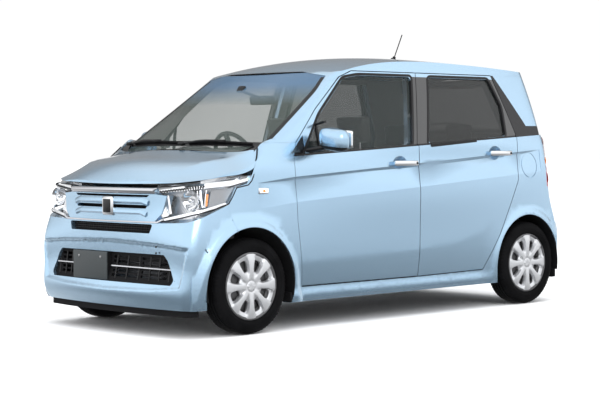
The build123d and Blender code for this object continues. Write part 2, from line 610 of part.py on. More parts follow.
half_tyre = TYRE_WIDTH / 2
SHOULDER = (TYRE_RADIUS - 2, 50)
tyre = revolved([
    ((RIM_SEAT + FIT, 0), (RIM_SEAT + FIT, BEAD_HALF - FIT)),
    ((RIM_SEAT + FIT, BEAD_HALF - FIT), (RIM_FLANGE + 1, BEAD_HALF - FIT)),
    ((RIM_FLANGE + 1, BEAD_HALF - FIT), (RIM_FLANGE + 6, RIM_HALF + 3)),
    ((RIM_FLANGE + 6, RIM_HALF + 3), (RIM_FLANGE + 38, half_tyre), (TYRE_RADIUS - 18, 68)),
    ((TYRE_RADIUS - 18, 68), (TYRE_RADIUS - 7, 61), SHOULDER),
    (SHOULDER, (TYRE_RADIUS, 0)),
])
BARREL = 172                 # inner radius of the rim barrel
HUB_RADIUS = 58
ROTOR = (112, -20, -8)       # brake disc: radius, from y to y, about the wheel plane
rim = revolved([
    ((BARREL, 0), (BARREL, RIM_HALF)), ((BARREL, RIM_HALF), (RIM_FLANGE, RIM_HALF)),
    ((RIM_FLANGE, RIM_HALF), (RIM_FLANGE, BEAD_HALF)),
    ((RIM_FLANGE, BEAD_HALF), (RIM_SEAT, BEAD_HALF)),
    ((RIM_SEAT, BEAD_HALF), (RIM_SEAT, 0)),
])
cover = revolved([
    ((0, ROTOR[2]), (0, 74)), ((0, 74), (30, 72)), ((30, 72), (34, 66)),
    ((34, 66), (90, 70), (BARREL + 2, 60)), ((BARREL + 2, 60), (BARREL + 2, 50)),
    ((BARREL + 2, 50), (90, 60), (HUB_RADIUS, 56)), ((HUB_RADIUS, 56), (HUB_RADIUS, ROTOR[2])),
    ((HUB_RADIUS, ROTOR[2]), (0, ROTOR[2])),
], mirrored_too=False)
SPOKES = 8
opening = [(84, -8), (84, 8), (150, 27), (158, 17), (158, -17), (150, -27)]
opening = extrude(Plane.XZ * make_face(FilletPolyline(*opening, radius=6, close=True)),
                  amount=60, both=True)
opening = Pos(0, 70, 0) * opening
holes = [Rot(0, 360 / SPOKES * (k + 0.5), 0) * opening for k in range(SPOKES)]
wheel = cover.cut(*holes).fuse(rim)
rotor = Pos(0, (ROTOR[1] + ROTOR[2]) / 2, 0) * Rot(90, 0, 0) * Cylinder(
    ROTOR[0], ROTOR[2] - ROTOR[1])
wheel = only_solids(wheel.fuse(rotor))

WHEELS = [("front", FA), ("rear", RA)]
for name, x in WHEELS:
    place = Pos(x, WHEEL_Y, TYRE_RADIUS)
    for side, shape in (("left", lambda part: part), ("right", mirrored)):
        add(f"tyre_{name}_{side}", shape(place * tyre))
        add(f"wheel_{name}_{side}", shape(place * wheel))

# ---- front knuckles, on the kingpin axis ------------------------------------------------------
low = Vector(FA + KINGPIN_LOW[0], *KINGPIN_LOW[1:])
top_mount = Vector(FA + KINGPIN_TOP[0], *KINGPIN_TOP[1:])


def on_kingpin(z):
    share = (z - low.Z) / (top_mount.Z - low.Z)
    return low + (top_mount - low) * share


STRUT_LEAN = 46              # the strut stands this far inboard of the kingpin at its foot
SPINDLE_IN = WHEEL_Y - 88
foot = on_kingpin(345) - Vector(0, STRUT_LEAN, 0)
knuckle = rod((FA, SPINDLE_IN, TYRE_RADIUS), (FA, WHEEL_Y + ROTOR[1] - FIT, TYRE_RADIUS), 40)
knuckle = knuckle.fuse(
    Pos(low) * Sphere(16),
    rod(low, (FA, SPINDLE_IN + 24, TYRE_RADIUS), 15),
    rod((FA, SPINDLE_IN + 14, TYRE_RADIUS), foot, 22),
    rod(foot, top_mount, 23),
    rod(foot + (top_mount - foot) * 0.60, foot + (top_mount - foot) * 0.64, 54),
    rod(foot + (top_mount - foot) * 0.60, foot + (top_mount - foot) * 0.94, 42),
    rod(foot + (top_mount - foot) * 0.92, foot + (top_mount - foot) * 0.96, 54),
)
knuckle = only_solids(knuckle)
add("knuckle_left", knuckle)
add("knuckle_right", mirrored(knuckle))

# ---- front structure, engine and steering ------------------------------------------------------
ENGINE = (FA - 100, FA + 330, -300, 300, 240, 760)
RAIL_IN, RAIL_OUT = 326, HALF - FRONT_ARCH_DEPTH - FIT
TOWER_Z = KINGPIN_TOP[2] + 4
FIREWALL = FA - 165
rail = block(FIREWALL + FIT, FA + 410, RAIL_IN, RAIL_OUT, 420, 520)
rail = rail.fuse(
    block(FA - 95, FA + 75, RAIL_IN, RAIL_IN + 12, 500, TOWER_Z + 12),
    block(FA - 95, FA + 75, RAIL_IN, KINGPIN_TOP[1] + 70, TOWER_Z, TOWER_Z + 12),
    block(FA - 95, FA - 83, RAIL_IN, KINGPIN_TOP[1] + 70, 640, TOWER_Z + 12),
    block(FA + 90, FA + 150, ENGINE[3] + FIT, RAIL_IN + 20, 430, 500),
)
structure = rail.fuse(mirrored(rail), block(FA + 380, FA + 412, -440, 440, 430, 520))
add("front_structure", only_solids(structure))

SUBFRAME_Z = (165, 225)
arm = extrude(make_face(Polyline(
    (FA + 95, 330), (FA + 28, low.Y), (FA - 28, low.Y), (FA - 140, 330), close=True)), amount=22)
arm = Pos(0, 0, low.Z - 16 - FIT - 22) * arm
subframe = block(FA - 170, FA + 110, -400, 400, low.Z - 40, low.Z - 40 + 50)
subframe = subframe.fuse(arm, mirrored(arm),
                         block(FA - 170, FA - 130, 290, 380, low.Z - 40, 420 - FIT),
                         block(FA - 170, FA - 130, -380, -290, low.Z - 40, 420 - FIT))
add("front_subframe", only_solids(subframe))
engine = fillet(block(*ENGINE).edges(), 25)
add("engine_block", engine)

# ---- wheelhouse liners ------------------------------------------------------------------------
LINER = 4
LINER_BOTTOM = {FA: 206, RA: 215}
liners = []
for x, radius, depth in ARCHES:
    inner = HALF - depth
    shell = Pos(x, (inner + HALF - 12) / 2, TYRE_RADIUS) * Rot(90, 0, 0) * (
        Cylinder(radius - FIT, HALF - 12 - inner)
        - Pos(0, 0, -LINER) * Cylinder(radius - FIT - LINER, HALF - 12 - inner))
    shell = shell & block(x - 400, x + 400, 0, HALF, LINER_BOTTOM[x], 700)
    if x == FA:
        shell = shell.cut(rod(on_kingpin(500), on_kingpin(780), 84),
                          block(x - 260, x + 260, 0, inner + 30, 100, 430))
    else:
        shell = shell - block(x - 200, x + 260, 0, inner + 30, 100, 380)
    shell = only_solids(shell)
    liners += [shell, mirrored(shell)]
add("wheelhouse_liners", Compound(children=liners))

# ---- floor ------------------------------------------------------------------------------------
FLOOR = 12
STEP_X = B_LINE - 110
FRONT_FLOOR, REAR_FLOOR, LOAD_FLOOR = 205, 320, 470
FLOOR_PATH = [
    (FIREWALL, 990), (FIREWALL, 430), (FA - 350, 240), (FA - 420, FRONT_FLOOR),
    (STEP_X, FRONT_FLOOR),
    (STEP_X - 50, REAR_FLOOR), (STEP_X - 670, REAR_FLOOR), (STEP_X - 730, LOAD_FLOOR),
    (TAIL + 100, LOAD_FLOOR),
]
path = FLOOR_PATH + [(x, z) for x, z in reversed(grown(FLOOR_PATH + [(TAIL + 100, 100)], FLOOR))][1:]
floor = side_prism(path, -700, 700)
floor = (floor & lower_form(DOOR_WALL + FRAME_DEPTH + FIT, HOOD_WALL + 60)).cut(*arches)
floor = only_solids(floor)
add("floor_pan", floor)

# ---- rear axle, fuel tank and exhaust ---------------------------------------------------------
BEAM = (RA + 150, 285, 38)   # torsion beam: x, z, radius
ARM_Y = 470
beam = rod((BEAM[0], -ARM_Y, BEAM[1]), (BEAM[0], ARM_Y, BEAM[1]), BEAM[2])
SPRING = (RA + 40, 420)      # rear spring: x, y
for side in (1, -1):
    beam = beam.fuse(
        rod((RA + 420, side * 430, 290), (BEAM[0], side * ARM_Y, 285), 26),
        rod((BEAM[0], side * ARM_Y, 285), (RA, side * 500, TYRE_RADIUS), 28),
        rod((RA, side * 490, TYRE_RADIUS), (RA, side * (WHEEL_Y + ROTOR[1] - FIT), TYRE_RADIUS), 38),
        rod((SPRING[0], side * SPRING[1], 262), (SPRING[0], side * SPRING[1], 290), 60),
        rod((SPRING[0], side * SPRING[1], 270), (BEAM[0], side * 440, 285), 24),
        rod((SPRING[0], side * SPRING[1], 285), (SPRING[0], side * SPRING[1], LOAD_FLOOR - FIT), 45),
        rod((RA + 420, side * 430, 290), (RA + 420, side * 430, REAR_FLOOR - FIT), 20),
    )
add("rear_axle_beam", only_solids(beam))
TANK = (STEP_X + 60, STEP_X + 640, -330, 330, 150, FRONT_FLOOR - FIT)
add("fuel_tank", fillet(block(*TANK).edges(), 12))
PIPE_Y, PIPE_Z = -400, 178
BEND = (STEP_X - 400, -180, 212)
exhaust = rod((FA - 200, PIPE_Y, PIPE_Z), (STEP_X - 60, PIPE_Y, PIPE_Z), 22)
exhaust = exhaust.fuse(
    Pos(STEP_X - 60, PIPE_Y, PIPE_Z) * Sphere(22),
    rod((STEP_X - 60, PIPE_Y, PIPE_Z), BEND, 22),
    Pos(BEND) * Sphere(22),
    rod(BEND, (TAIL + 380, BEND[1], BEND[2]), 22),
    fillet(block(TAIL + 150, TAIL + 410, -330, -90, 195, 315).edges(), 30),
    rod((TAIL + 180, -280, 225), (TAIL + 90, -280, 220), 20),
    rod((STEP_X + 200, PIPE_Y, PIPE_Z), (STEP_X + 200, PIPE_Y, FRONT_FLOOR - FIT), 10),
    rod((TAIL + 300, -210, 300), (TAIL + 300, -210, LOAD_FLOOR - FIT), 12),
)
add("exhaust", only_solids(exhaust))

# ---- dashboard, steering and seats --------------------------------------------------------------
DRIVER_Y = -330
COLUMN = Vector(-0.9, 0, 0.436).normalized()    # from the dashboard towards the driver
WHEEL_CENTRE = Vector(FA - 820, DRIVER_Y, 996)
STEERING_RADIUS = 183
SHAFT = 15
DASH_FRONT = FIREWALL - FLOOR - FIT
DASH = [
    (DASH_FRONT, 985), (DASH_FRONT, 720), (FA - 330, 640), (FA - 430, 640),
    (FA - 520, 760), (FA - 530, 930), (FA - 480, 1010), (FA - 330, 1040),
]
dash = side_prism(DASH, -640, 640, radius=20)
dash = dash & lower_form(DOOR_WALL + FRAME_DEPTH + FIT, HOOD_WALL + 60)
bore = rod(WHEEL_CENTRE, WHEEL_CENTRE - COLUMN * 420, SHAFT + FIT)
relief = block(*(PADS[1][0] + end * (half + SHUT) for end in (-1, 1)), HALF - 130 - SHUT, HALF,
               *(PADS[1][1] + end * (half + SHUT) for end in (-1, 1)))
dash = only_solids(dash.cut(bore, relief, mirrored(relief), *arches))
add("dashboard", dash)

wheel_plane = Plane(origin=WHEEL_CENTRE, x_dir=(0, 1, 0), z_dir=COLUMN)
steering = Torus(STEERING_RADIUS, 14).fuse(
    Pos(0, 0, -22) * Cylinder(58, 44),
    Pos(0, 0, -12) * Box(2 * STEERING_RADIUS - 8, 34, 14),
    Pos(0, -STEERING_RADIUS / 2, -12) * Box(36, STEERING_RADIUS - 8, 14),
    Pos(0, 0, -185) * Cylinder(SHAFT, 300),
)
add("steering_wheel", only_solids(wheel_plane * steering))

FRONT_SEAT = [(DOOR_FRONT - 330, 330), (DOOR_FRONT - 320, 470), (DOOR_FRONT - 740, 430),
              (DOOR_FRONT - 880, 1060), (DOOR_FRONT - 960, 1060), (DOOR_FRONT - 880, 330)]
HEADREST = [(DOOR_FRONT - 830, 1090), (DOOR_FRONT - 850, 1270), (DOOR_FRONT - 930, 1275),
            (DOOR_FRONT - 930, 1090)]
SEAT_HALF = 245


def seat(profile, headrest, centre, half, headrest_half, base, floor_z):
    cushion = side_prism(profile, centre - half, centre + half, radius=30)
    rest = side_prism(headrest, centre - headrest_half, centre + headrest_half, radius=25)
    stalk_x = sum(x for x, z in headrest) / len(headrest)
    stalk_z = min(z for x, z in headrest)
    pieces = [rest]
    for y in (centre - 60, centre + 60):
        pieces.append(rod((stalk_x - 10, y, stalk_z - 60), (stalk_x - 10, y, stalk_z + 30), 7))
    pieces.append(block(base[0], base[1], centre - half + 40, centre + half - 40,
                        floor_z + FIT, min(z for x, z in profile) + 10))
    return only_solids(cushion.fuse(*pieces))


driver = seat(FRONT_SEAT, HEADREST, DRIVER_Y, SEAT_HALF, 130, (DOOR_FRONT - 850, DOOR_FRONT - 400),
              FRONT_FLOOR + FLOOR)
add("front_seats", Compound(children=[driver, mirrored(driver)]))
BENCH_X = STEP_X - 110
REAR_SEAT = [(BENCH_X + 100, 350), (BENCH_X + 110, 480), (BENCH_X - 340, 450),
             (BENCH_X - 480, 1040), (BENCH_X - 560, 1040), (BENCH_X - 480, 350)]
REAR_REST = [(BENCH_X - 460, 1068), (BENCH_X - 470, 1220), (BENCH_X - 540, 1225),
             (BENCH_X - 545, 1068)]
bench = seat(REAR_SEAT, REAR_REST, 290, 275, 110, (BENCH_X - 470, BENCH_X - 70),
             REAR_FLOOR + FLOOR)
add("rear_seats", Compound(children=[bench, mirrored(bench)]))

# ---- mirrors, antenna and fuel flap -------------------------------------------------------------
MIRROR = (DOOR_FRONT - 200, 848, 1117)
MIRROR_SIZE = (125, 215, 148)
housing = fillet(Box(*MIRROR_SIZE).edges(), 46)
door_skin = Pos(0, FIT, 0) * parts["door_front_left"]
stem = rod((DOOR_FRONT - 125, 655, 1052), (MIRROR[0] + 20, 800, 1085), 24)
mirror_left = only_solids((Pos(*MIRROR) * housing).fuse(stem).cut(
    door_skin, parts["door_front_left"], glass_skin, Pos(0, FIT, 0) * glass_skin))
add("mirror_left", mirror_left)
add("mirror_right", mirrored(mirror_left))
ANTENNA_X = NOSE - 2487
antenna = rod((ANTENNA_X + 12, 0, 1630), (ANTENNA_X, 0, 1668), 18).fuse(
    rod((ANTENNA_X, 0, 1660), (ANTENNA_X - 87, 0, 1834), 3.5))
add("antenna", only_solids(antenna - Pos(0, 0, FIT) * upper_out))

os.makedirs("parts", exist_ok=True)
for name, shape in parts.items():
    export_step(shape, f"parts/{name}.step")
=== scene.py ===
"""The looks of a kei car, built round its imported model. Metres; +X forward, +Y left, +Z up."""
import math

import bmesh
import bpy
from mathutils import Matrix, Vector
from mathutils.bvhtree import BVHTree


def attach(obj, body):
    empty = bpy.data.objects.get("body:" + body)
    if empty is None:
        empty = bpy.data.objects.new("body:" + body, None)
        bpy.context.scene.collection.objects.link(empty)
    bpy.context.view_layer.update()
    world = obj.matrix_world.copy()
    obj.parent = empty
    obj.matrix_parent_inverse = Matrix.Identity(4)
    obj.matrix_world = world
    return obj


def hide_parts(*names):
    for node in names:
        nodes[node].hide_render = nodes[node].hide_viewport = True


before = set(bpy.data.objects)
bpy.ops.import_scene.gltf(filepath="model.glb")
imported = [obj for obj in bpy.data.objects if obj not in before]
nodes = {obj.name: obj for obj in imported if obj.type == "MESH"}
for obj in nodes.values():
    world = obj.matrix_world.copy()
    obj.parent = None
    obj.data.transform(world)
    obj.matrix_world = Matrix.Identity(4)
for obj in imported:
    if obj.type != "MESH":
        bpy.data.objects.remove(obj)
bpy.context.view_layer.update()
scene = bpy.context.scene

# ---- stations measured on the car ----
NOSE = 1.6975
FRONT_AXLE = NOSE - 0.520
REAR_AXLE = FRONT_AXLE - 2.520
MID = (FRONT_AXLE + REAR_AXLE) / 2
HALF = 0.7375
WHEEL_Y = 0.6525
TYRE_R = 0.278
DOOR_FRONT = FRONT_AXLE - 0.353
B_LINE = MID - 0.172
REAR_DOOR_END = REAR_AXLE + 0.076
BELT = (1.067, 0.0525)       # height of the window line over MID, rise towards the rear
SIDES = (("left", 1), ("right", -1))
TRIM, DARK, METAL, CABIN = "black_trim", "dark_plastic", "steel", "interior"


def belt(x, lift=0.0):
    return BELT[0] + (MID - x) * BELT[1] + lift


# ---- camera ----
LENS, SENSOR, VIEW = 99.58, 36, (600, 400)
ROLL = math.radians(-0.25)
camera_data = bpy.data.cameras.new("camera")
camera_data.sensor_width = SENSOR
camera_data.lens = LENS
camera_data.clip_end = 200
camera = bpy.data.objects.new("camera", camera_data)
scene.collection.objects.link(camera)
camera.location = (7.541, 7.775, 1.117)
aim = Vector((0.1007, 0, 0.7265)) - camera.location
camera.rotation_euler = (aim.to_track_quat("-Z", "Y").to_matrix()
                         @ Matrix.Rotation(ROLL, 3, "Z")).to_euler()
scene.camera = camera
scene.view_settings.view_transform = "Standard"


# ---- node materials ----
def add_node(tree, kind, **values):
    made = tree.nodes.new("ShaderNode" + kind)
    for key, value in values.items():
        if hasattr(made, key):
            setattr(made, key, value)
        else:
            made.inputs[key.replace("_", " ")].default_value = value
    return made


def fill_ramp(ramp, stops):
    while len(ramp.elements) < len(stops):
        ramp.elements.new(0.5)
    for element, (at, colour) in zip(ramp.elements, stops):
        element.position = at
        element.color = (*colour, 1)


EDGE_SHARPNESS = 800.0       # per metre, for the painted edges in a material


class Shader:
    """A material and short calls for its nodes."""

    def __init__(self, name, colour, rough, metal=0.0, **sockets):
        self.mat = bpy.data.materials.new(name)
        self.mat.use_nodes = True
        self.tree = self.mat.node_tree
        self.bsdf = self.tree.nodes["Principled BSDF"]
        self.place = self.node("TexCoord").outputs["Object"]
        self.set("Base Color", (*colour, 1))
        self.set("Roughness", rough)
        self.set("Metallic", metal)
        for key, value in sockets.items():
            self.set(key.replace("_", " "), value)

    def set(self, socket, value):
        self.bsdf.inputs[socket].default_value = value

    def node(self, kind, **values):
        return add_node(self.tree, kind, **values)

    def link(self, a, b):
        self.tree.links.new(a, b)

    def finish(self, output, socket):
        """Links an output to a socket of the material itself."""
        self.link(output, self.bsdf.inputs[socket])

    def maths(self, how, a, b):
        made = self.node("Math", operation=how)
        for k, value in enumerate((a, b)):
            if isinstance(value, (int, float)):
                made.inputs[k].default_value = value
            else:
                self.link(value, made.inputs[k])
        return made.outputs[0]

    def noise(self, scale, detail=2.0, stretch=None):
        made = self.node("TexNoise", Scale=scale, Detail=detail)
        source = self.place
        if stretch:
            mapping = self.node("Mapping", Scale=stretch)
            self.link(source, mapping.inputs["Vector"])
            source = mapping.outputs[0]
        self.link(source, made.inputs["Vector"])
        return made.outputs["Fac"]

    def waves(self, scale, direction, distortion=0.0):
        made = self.node("TexWave", Scale=scale, Distortion=distortion, bands_direction=direction)
        self.link(self.place, made.inputs["Vector"])
        return made.outputs["Fac"]

    def bump(self, height, strength, distance):
        made = self.node("Bump", Strength=strength, Distance=distance)
        self.link(height, made.inputs["Height"])
        self.finish(made.outputs[0], "Normal")
        return self

    def ramp(self, factor, stops):
        made = self.node("ValToRGB")
        fill_ramp(made.color_ramp, stops)
        self.link(factor, made.inputs[0])
        self.finish(made.outputs[0], "Base Color")

    def mix(self, factor, a, b):
        """Base colour a where factor is 0 and b where it is 1."""
        made = self.node("Mix", data_type="RGBA")
        self.link(factor, made.inputs[0])
        made.inputs[6].default_value = (*a, 1)
        made.inputs[7].default_value = (*b, 1)
        self.finish(made.outputs[2], "Base Color")

    def side_mask(self, *lines):
        """1 where every line a*x + b*z + c of (a, b, c) is above 0, in the side view."""
        split = self.node("SeparateXYZ")
        self.link(self.place, split.inputs[0])
        mask = None
        for a, b, c in lines:
            value = self.maths("ADD", self.maths("MULTIPLY", split.outputs["X"], a),
                               self.maths("MULTIPLY", split.outputs["Z"], b))
            value = self.maths("MULTIPLY", self.maths("ADD", value, c), EDGE_SHARPNESS)
            made = self.node("Clamp")
            self.link(value, made.inputs[0])
            clear = made.outputs[0]
            mask = self.maths("MULTIPLY", mask, clear) if mask else clear
        return mask


def plain(name, colour, rough, metal=0.0, grain=None, worn=None, **sockets):
    """A material with slow colour variation, worn: (amount, scale), and a fine surface
    grain: (scale per metre, height in metres, detail, strength, stretch)."""
    made = Shader(name, colour, rough, metal, **sockets)
    if worn:
        wear(made, colour, *worn)
    if grain:
        roughen(made, *grain)
    return made.mat


def roughen(made, scale, height, detail=3.0, strength=0.35, stretch=None):
    made.bump(made.noise(scale, detail, stretch), strength, height)


def wear(made, colour, amount, scale=9.0):
    """Slow colour variation about the base colour."""
    low = tuple(c * (1 - amount) for c in colour)
    high = tuple(min(c * (1 + amount), 1) for c in colour)
    made.ramp(made.noise(scale, 4.0), [(0.35, low), (0.65, high)])


PAINT, BLACK, PAINT_METAL = (0.36, 0.53, 0.69), (0.006, 0.006, 0.007), 0.88


def paint_shader(name):
    """Light metallic paint: fine flakes under a clear coat."""
    made = Shader(name, PAINT, 0.24, PAINT_METAL, Coat_Weight=1.0, Coat_Roughness=0.03)
    flake = made.node("TexVoronoi", Scale=1400.0)
    made.link(made.place, flake.inputs["Vector"])
    return made.bump(flake.outputs["Distance"], 0.05, 0.0003)


def black_on_paint(name, *masks):
    """Paint with gloss black where any of the side-view masks holds."""
    made = paint_shader(name)
    total = None
    for lines in masks:
        mask = made.side_mask(*lines)
        total = made.maths("MAXIMUM", total, mask) if total else mask
    made.mix(total, PAINT, BLACK)
    metal = made.maths("MULTIPLY", made.maths("SUBTRACT", 1.0, total), PAINT_METAL)
    made.finish(metal, "Metallic")
    return made.mat


def through(a, b, side):
    """The line a*x + b*z + c through two side-view points, above 0 on the given side."""
    (x0, z0), (x1, z1) = a, b
    nx, nz = z0 - z1, x1 - x0
    length = math.hypot(nx, nz) * side
    return nx / length, nz / length, -(nx * x0 + nz * z0) / length


paint = paint_shader("paint").mat
under_paint = plain("paint_inside", (0.16, 0.24, 0.31), 0.5, 0.0, (400, 0.0002))
gloss_black = plain("gloss_black", BLACK, 0.14, 0.0, (900, 0.00005), Specular_IOR_Level=0.35)
satin_black = plain("satin_black", (0.009, 0.009, 0.010), 0.42, 0.0, (1200, 0.0002),
                    Specular_IOR_Level=0.25)
matt_black = plain("matt_black", (0.007, 0.007, 0.008), 0.75, 0.0, (1500, 0.0004),
                   Specular_IOR_Level=0.15)
chrome = plain("chrome", (0.80, 0.81, 0.83), 0.10, 1.0, (60, 0.0005, 2.0, 0.02))
brushed = plain("brushed_chrome", (0.62, 0.63, 0.66), 0.22, 1.0,
                (700, 0.0003, 2.0, 0.10, (1, 0.03, 1)))
silver = plain("wheel_silver", (0.60, 0.61, 0.63), 0.34, 0.75, (2500, 0.0002, 2.0, 0.05),
               Coat_Weight=0.4)
rubber_shader = Shader("rubber", (0.0035, 0.0035, 0.004), 0.70, Specular_IOR_Level=0.05)
wear(rubber_shader, (0.004, 0.004, 0.0045), 0.25)
rubber = rubber_shader.bump(rubber_shader.noise(1800, 4.0), 0.25, 0.0004).mat
steel = plain("chassis_steel", (0.11, 0.11, 0.115), 0.5, 0.6, (150, 0.001, 4.0, 0.15), (0.3,))
iron = plain("cast_iron", (0.20, 0.20, 0.21), 0.6, 0.6, (220, 0.002, 5.0, 0.5), (0.3,))
disc = plain("brake_disc", (0.42, 0.42, 0.43), 0.3, 1.0)
under_coat = plain("under_coat", (0.030, 0.030, 0.032), 0.8, 0.0, (300, 0.002, 4.0, 0.5), (0.3,))
carpet = plain("carpet", (0.035, 0.034, 0.036), 0.95, 0.0, (900, 0.002, 5.0, 0.8), (0.3, 60))
dash_plastic = plain("dash_plastic", (0.050, 0.050, 0.054), 0.55, 0.0, (700, 0.0006, 4.0, 0.4))
panel_light = plain("panel_light", (0.33, 0.32, 0.31), 0.6, 0.0, (900, 0.0005))
door_lining = plain("door_lining", (0.060, 0.058, 0.058), 0.6, 0.0, (700, 0.0006))
lining = plain("roof_lining", (0.42, 0.41, 0.40), 0.9, 0.0, (1500, 0.0006))


def fabric(name, colour, thread=0.004):
    """Woven seat cloth: two sets of threads across each other, with slow colour variation."""
    made = Shader(name, colour, 0.92, Sheen_Weight=0.25)
    weave = made.maths("MULTIPLY", *[made.waves(0.5 / thread, way, 0.4) for way in "XZ"])
    low = tuple(c * 0.7 for c in colour)
    made.ramp(made.maths("ADD", made.maths("MULTIPLY", weave, 0.5),
                         made.maths("MULTIPLY", made.noise(40, 3.0), 0.5)),
              [(0.2, low), (0.7, colour)])
    return made.bump(weave, 0.3, 0.0008).mat


seat_cloth = fabric("seat_cloth", (0.085, 0.080, 0.078))
seat_centre = fabric("seat_cloth_centre", (0.16, 0.15, 0.145), 0.006)


def glass(name, tint, alpha, band=None):
    """Thin glass: mostly clear, with its own tint and the gloss of its surface. band: the
    colour, the two heights and the density of a shade at the top."""
    made = Shader(name, tint, 0.02, Alpha=alpha, Specular_IOR_Level=0.5)
    if band:
        colour, low, high, deep = band
        split = made.node("SeparateXYZ")
        made.link(made.place, split.inputs[0])
        share = made.node("MapRange", From_Min=low, From_Max=high)
        made.link(split.outputs["Z"], share.inputs["Value"])
        made.mix(share.outputs["Result"], tint, colour)
        density = made.maths("MULTIPLY_ADD", share.outputs["Result"], deep - alpha)
        density.node.inputs[2].default_value = alpha
        made.finish(density, "Alpha")
    return made.mat


windshield_glass = glass("windshield_glass", (0.10, 0.13, 0.12), 0.22,
                         ((0.05, 0.11, 0.19), 1.33, 1.46, 0.80))
side_glass = glass("side_glass", (0.03, 0.04, 0.04), 0.30)
dark_glass = glass("dark_glass", (0.012, 0.014, 0.014), 0.62)
lens = glass("lamp_lens", (0.80, 0.85, 0.90), 0.05)


def ribbed(name, colour, rough, metal, waves, strength, height, **sockets):
    """A material with fine parallel ribs; waves: their scale and direction."""
    made = Shader(name, colour, rough, metal, **sockets)
    return made.bump(made.waves(*waves), strength, height).mat


red_lens = ribbed("red_lens", (0.42, 0.010, 0.012), 0.12, 0.0, (60.0, "Z"), 0.25, 0.001,
                  Coat_Weight=1.0, Transmission_Weight=0.25)
amber = plain("amber", (0.85, 0.25, 0.03), 0.2, Coat_Weight=1.0)
white_lens = plain("white_lens", (0.85, 0.87, 0.90), 0.15, Coat_Weight=1.0)
led = plain("led", (0.9, 0.93, 1.0), 0.3, Emission_Color=(0.85, 0.93, 1.0, 1),
            Emission_Strength=0.6)
dials = plain("dials", (0.010, 0.012, 0.015), 0.15)

# ---- floor and light ----
FLOOR_HALF = 60
floor_mesh = bpy.data.meshes.new("floor")
floor_mesh.from_pydata([(x, y, 0) for x, y in ((-1, -1), (1, -1), (1, 1), (-1, 1))],
                       [], [(0, 1, 2, 3)])
floor_mesh.transform(Matrix.Scale(FLOOR_HALF, 4))
floor = bpy.data.objects.new("floor", floor_mesh)
scene.collection.objects.link(floor)
floor_shader = Shader("floor", (0.94, 0.94, 0.945), 1.0, Specular_IOR_Level=0.0,
                      Emission_Color=(1, 1, 1, 1))
# The floor glows a little far from the car, where a studio's white cove would rise.
reach = floor_shader.node("VectorMath", operation="LENGTH")
floor_shader.link(floor_shader.place, reach.inputs[0])
cove = floor_shader.node("MapRange", From_Min=2.6, From_Max=7.0, To_Max=0.40)
floor_shader.link(reach.outputs["Value"], cove.inputs["Value"])
floor_shader.finish(cove.outputs["Result"], "Emission Strength")
floor_mesh.materials.append(floor_shader.mat)
floor.visible_glossy = False

world = bpy.data.worlds.new("studio")
scene.world = world
world.use_nodes = True
sky = world.node_tree


def grey_ramp(stops, tint=(1, 1, 1)):
    made = add_node(sky, "ValToRGB")
    fill_ramp(made.color_ramp, [(at, [grey * part for part in tint]) for at, grey in stops])
    sky.links.new(upness.outputs[0], made.inputs[0])
    return made.outputs[0]


def blended(factor, a, b, **values):
    """The blend of two outputs, or of an output and a colour."""
    made = add_node(sky, "Mix", data_type="RGBA", **values)
    sky.links.new(factor, made.inputs[0])
    sky.links.new(a, made.inputs[6])
    if isinstance(b, tuple):
        made.inputs[7].default_value = b
    else:
        sky.links.new(b, made.inputs[7])
    return made.outputs[2]


direction = add_node(sky, "TexCoord").outputs["Generated"]
parts = add_node(sky, "SeparateXYZ")
sky.links.new(direction, parts.inputs[0])
upness = add_node(sky, "Math", operation="MULTIPLY_ADD")
upness.inputs[1].default_value = 0.5
upness.inputs[2].default_value = 0.5
sky.links.new(parts.outputs["Z"], upness.inputs[0])
height = grey_ramp([(0.0, 0.16), (0.34, 0.26), (0.43, 0.50), (0.485, 1.00), (0.52, 1.10),
                    (0.57, 1.50), (1.0, 1.30)], (0.98, 0.99, 1))
# The half of the studio behind the car is white.
toward = add_node(sky, "VectorMath", operation="DOT_PRODUCT")
toward.inputs[1].default_value = (-0.7, -0.72, 0.0)
sky.links.new(direction, toward.inputs[0])
share = add_node(sky, "MapRange", From_Min=0.2, From_Max=0.7)
sky.links.new(toward.outputs["Value"], share.inputs["Value"])
backdrop = blended(share.outputs["Result"], height, (1.02, 1.02, 1.02, 1))
# Above the backdrop that the camera sees, that half is darker: the hood and the roof mirror it.
dark = grey_ramp([(0.0, 1.0), (0.545, 1.0), (0.575, 0.30), (0.74, 0.32), (0.86, 1.0), (1.0, 1.0)])
shaded = blended(share.outputs["Result"], backdrop, dark, blend_type="MULTIPLY")
background = sky.nodes["Background"]
sky.links.new(shaded, background.inputs["Color"])
background.inputs["Strength"].default_value = 1.0


def area_light(name, place, aim_at, size, power, mirrored=True):
    data = bpy.data.lights.new(name, "AREA")
    data.shape = "RECTANGLE"
    data.size, data.size_y = size
    data.energy = power
    made = bpy.data.objects.new(name, data)
    scene.collection.objects.link(made)
    made.location = place
    made.rotation_euler = (Vector(aim_at) - Vector(place)).to_track_quat("-Z", "Y").to_euler()
    made.visible_glossy = mirrored


area_light("key", (0.5, 0.5, 6.5), (0, 0, 0), (8, 6), 420, False)
area_light("side", (3, 8, 4.5), (0, 0, 0.8), (6, 3), 130)


# ---- mesh calls ----
def added(name, mesh):
    made = bpy.data.objects.new(name, mesh)
    scene.collection.objects.link(made)
    return made


def riding(made, body):
    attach(made, body)
    return made


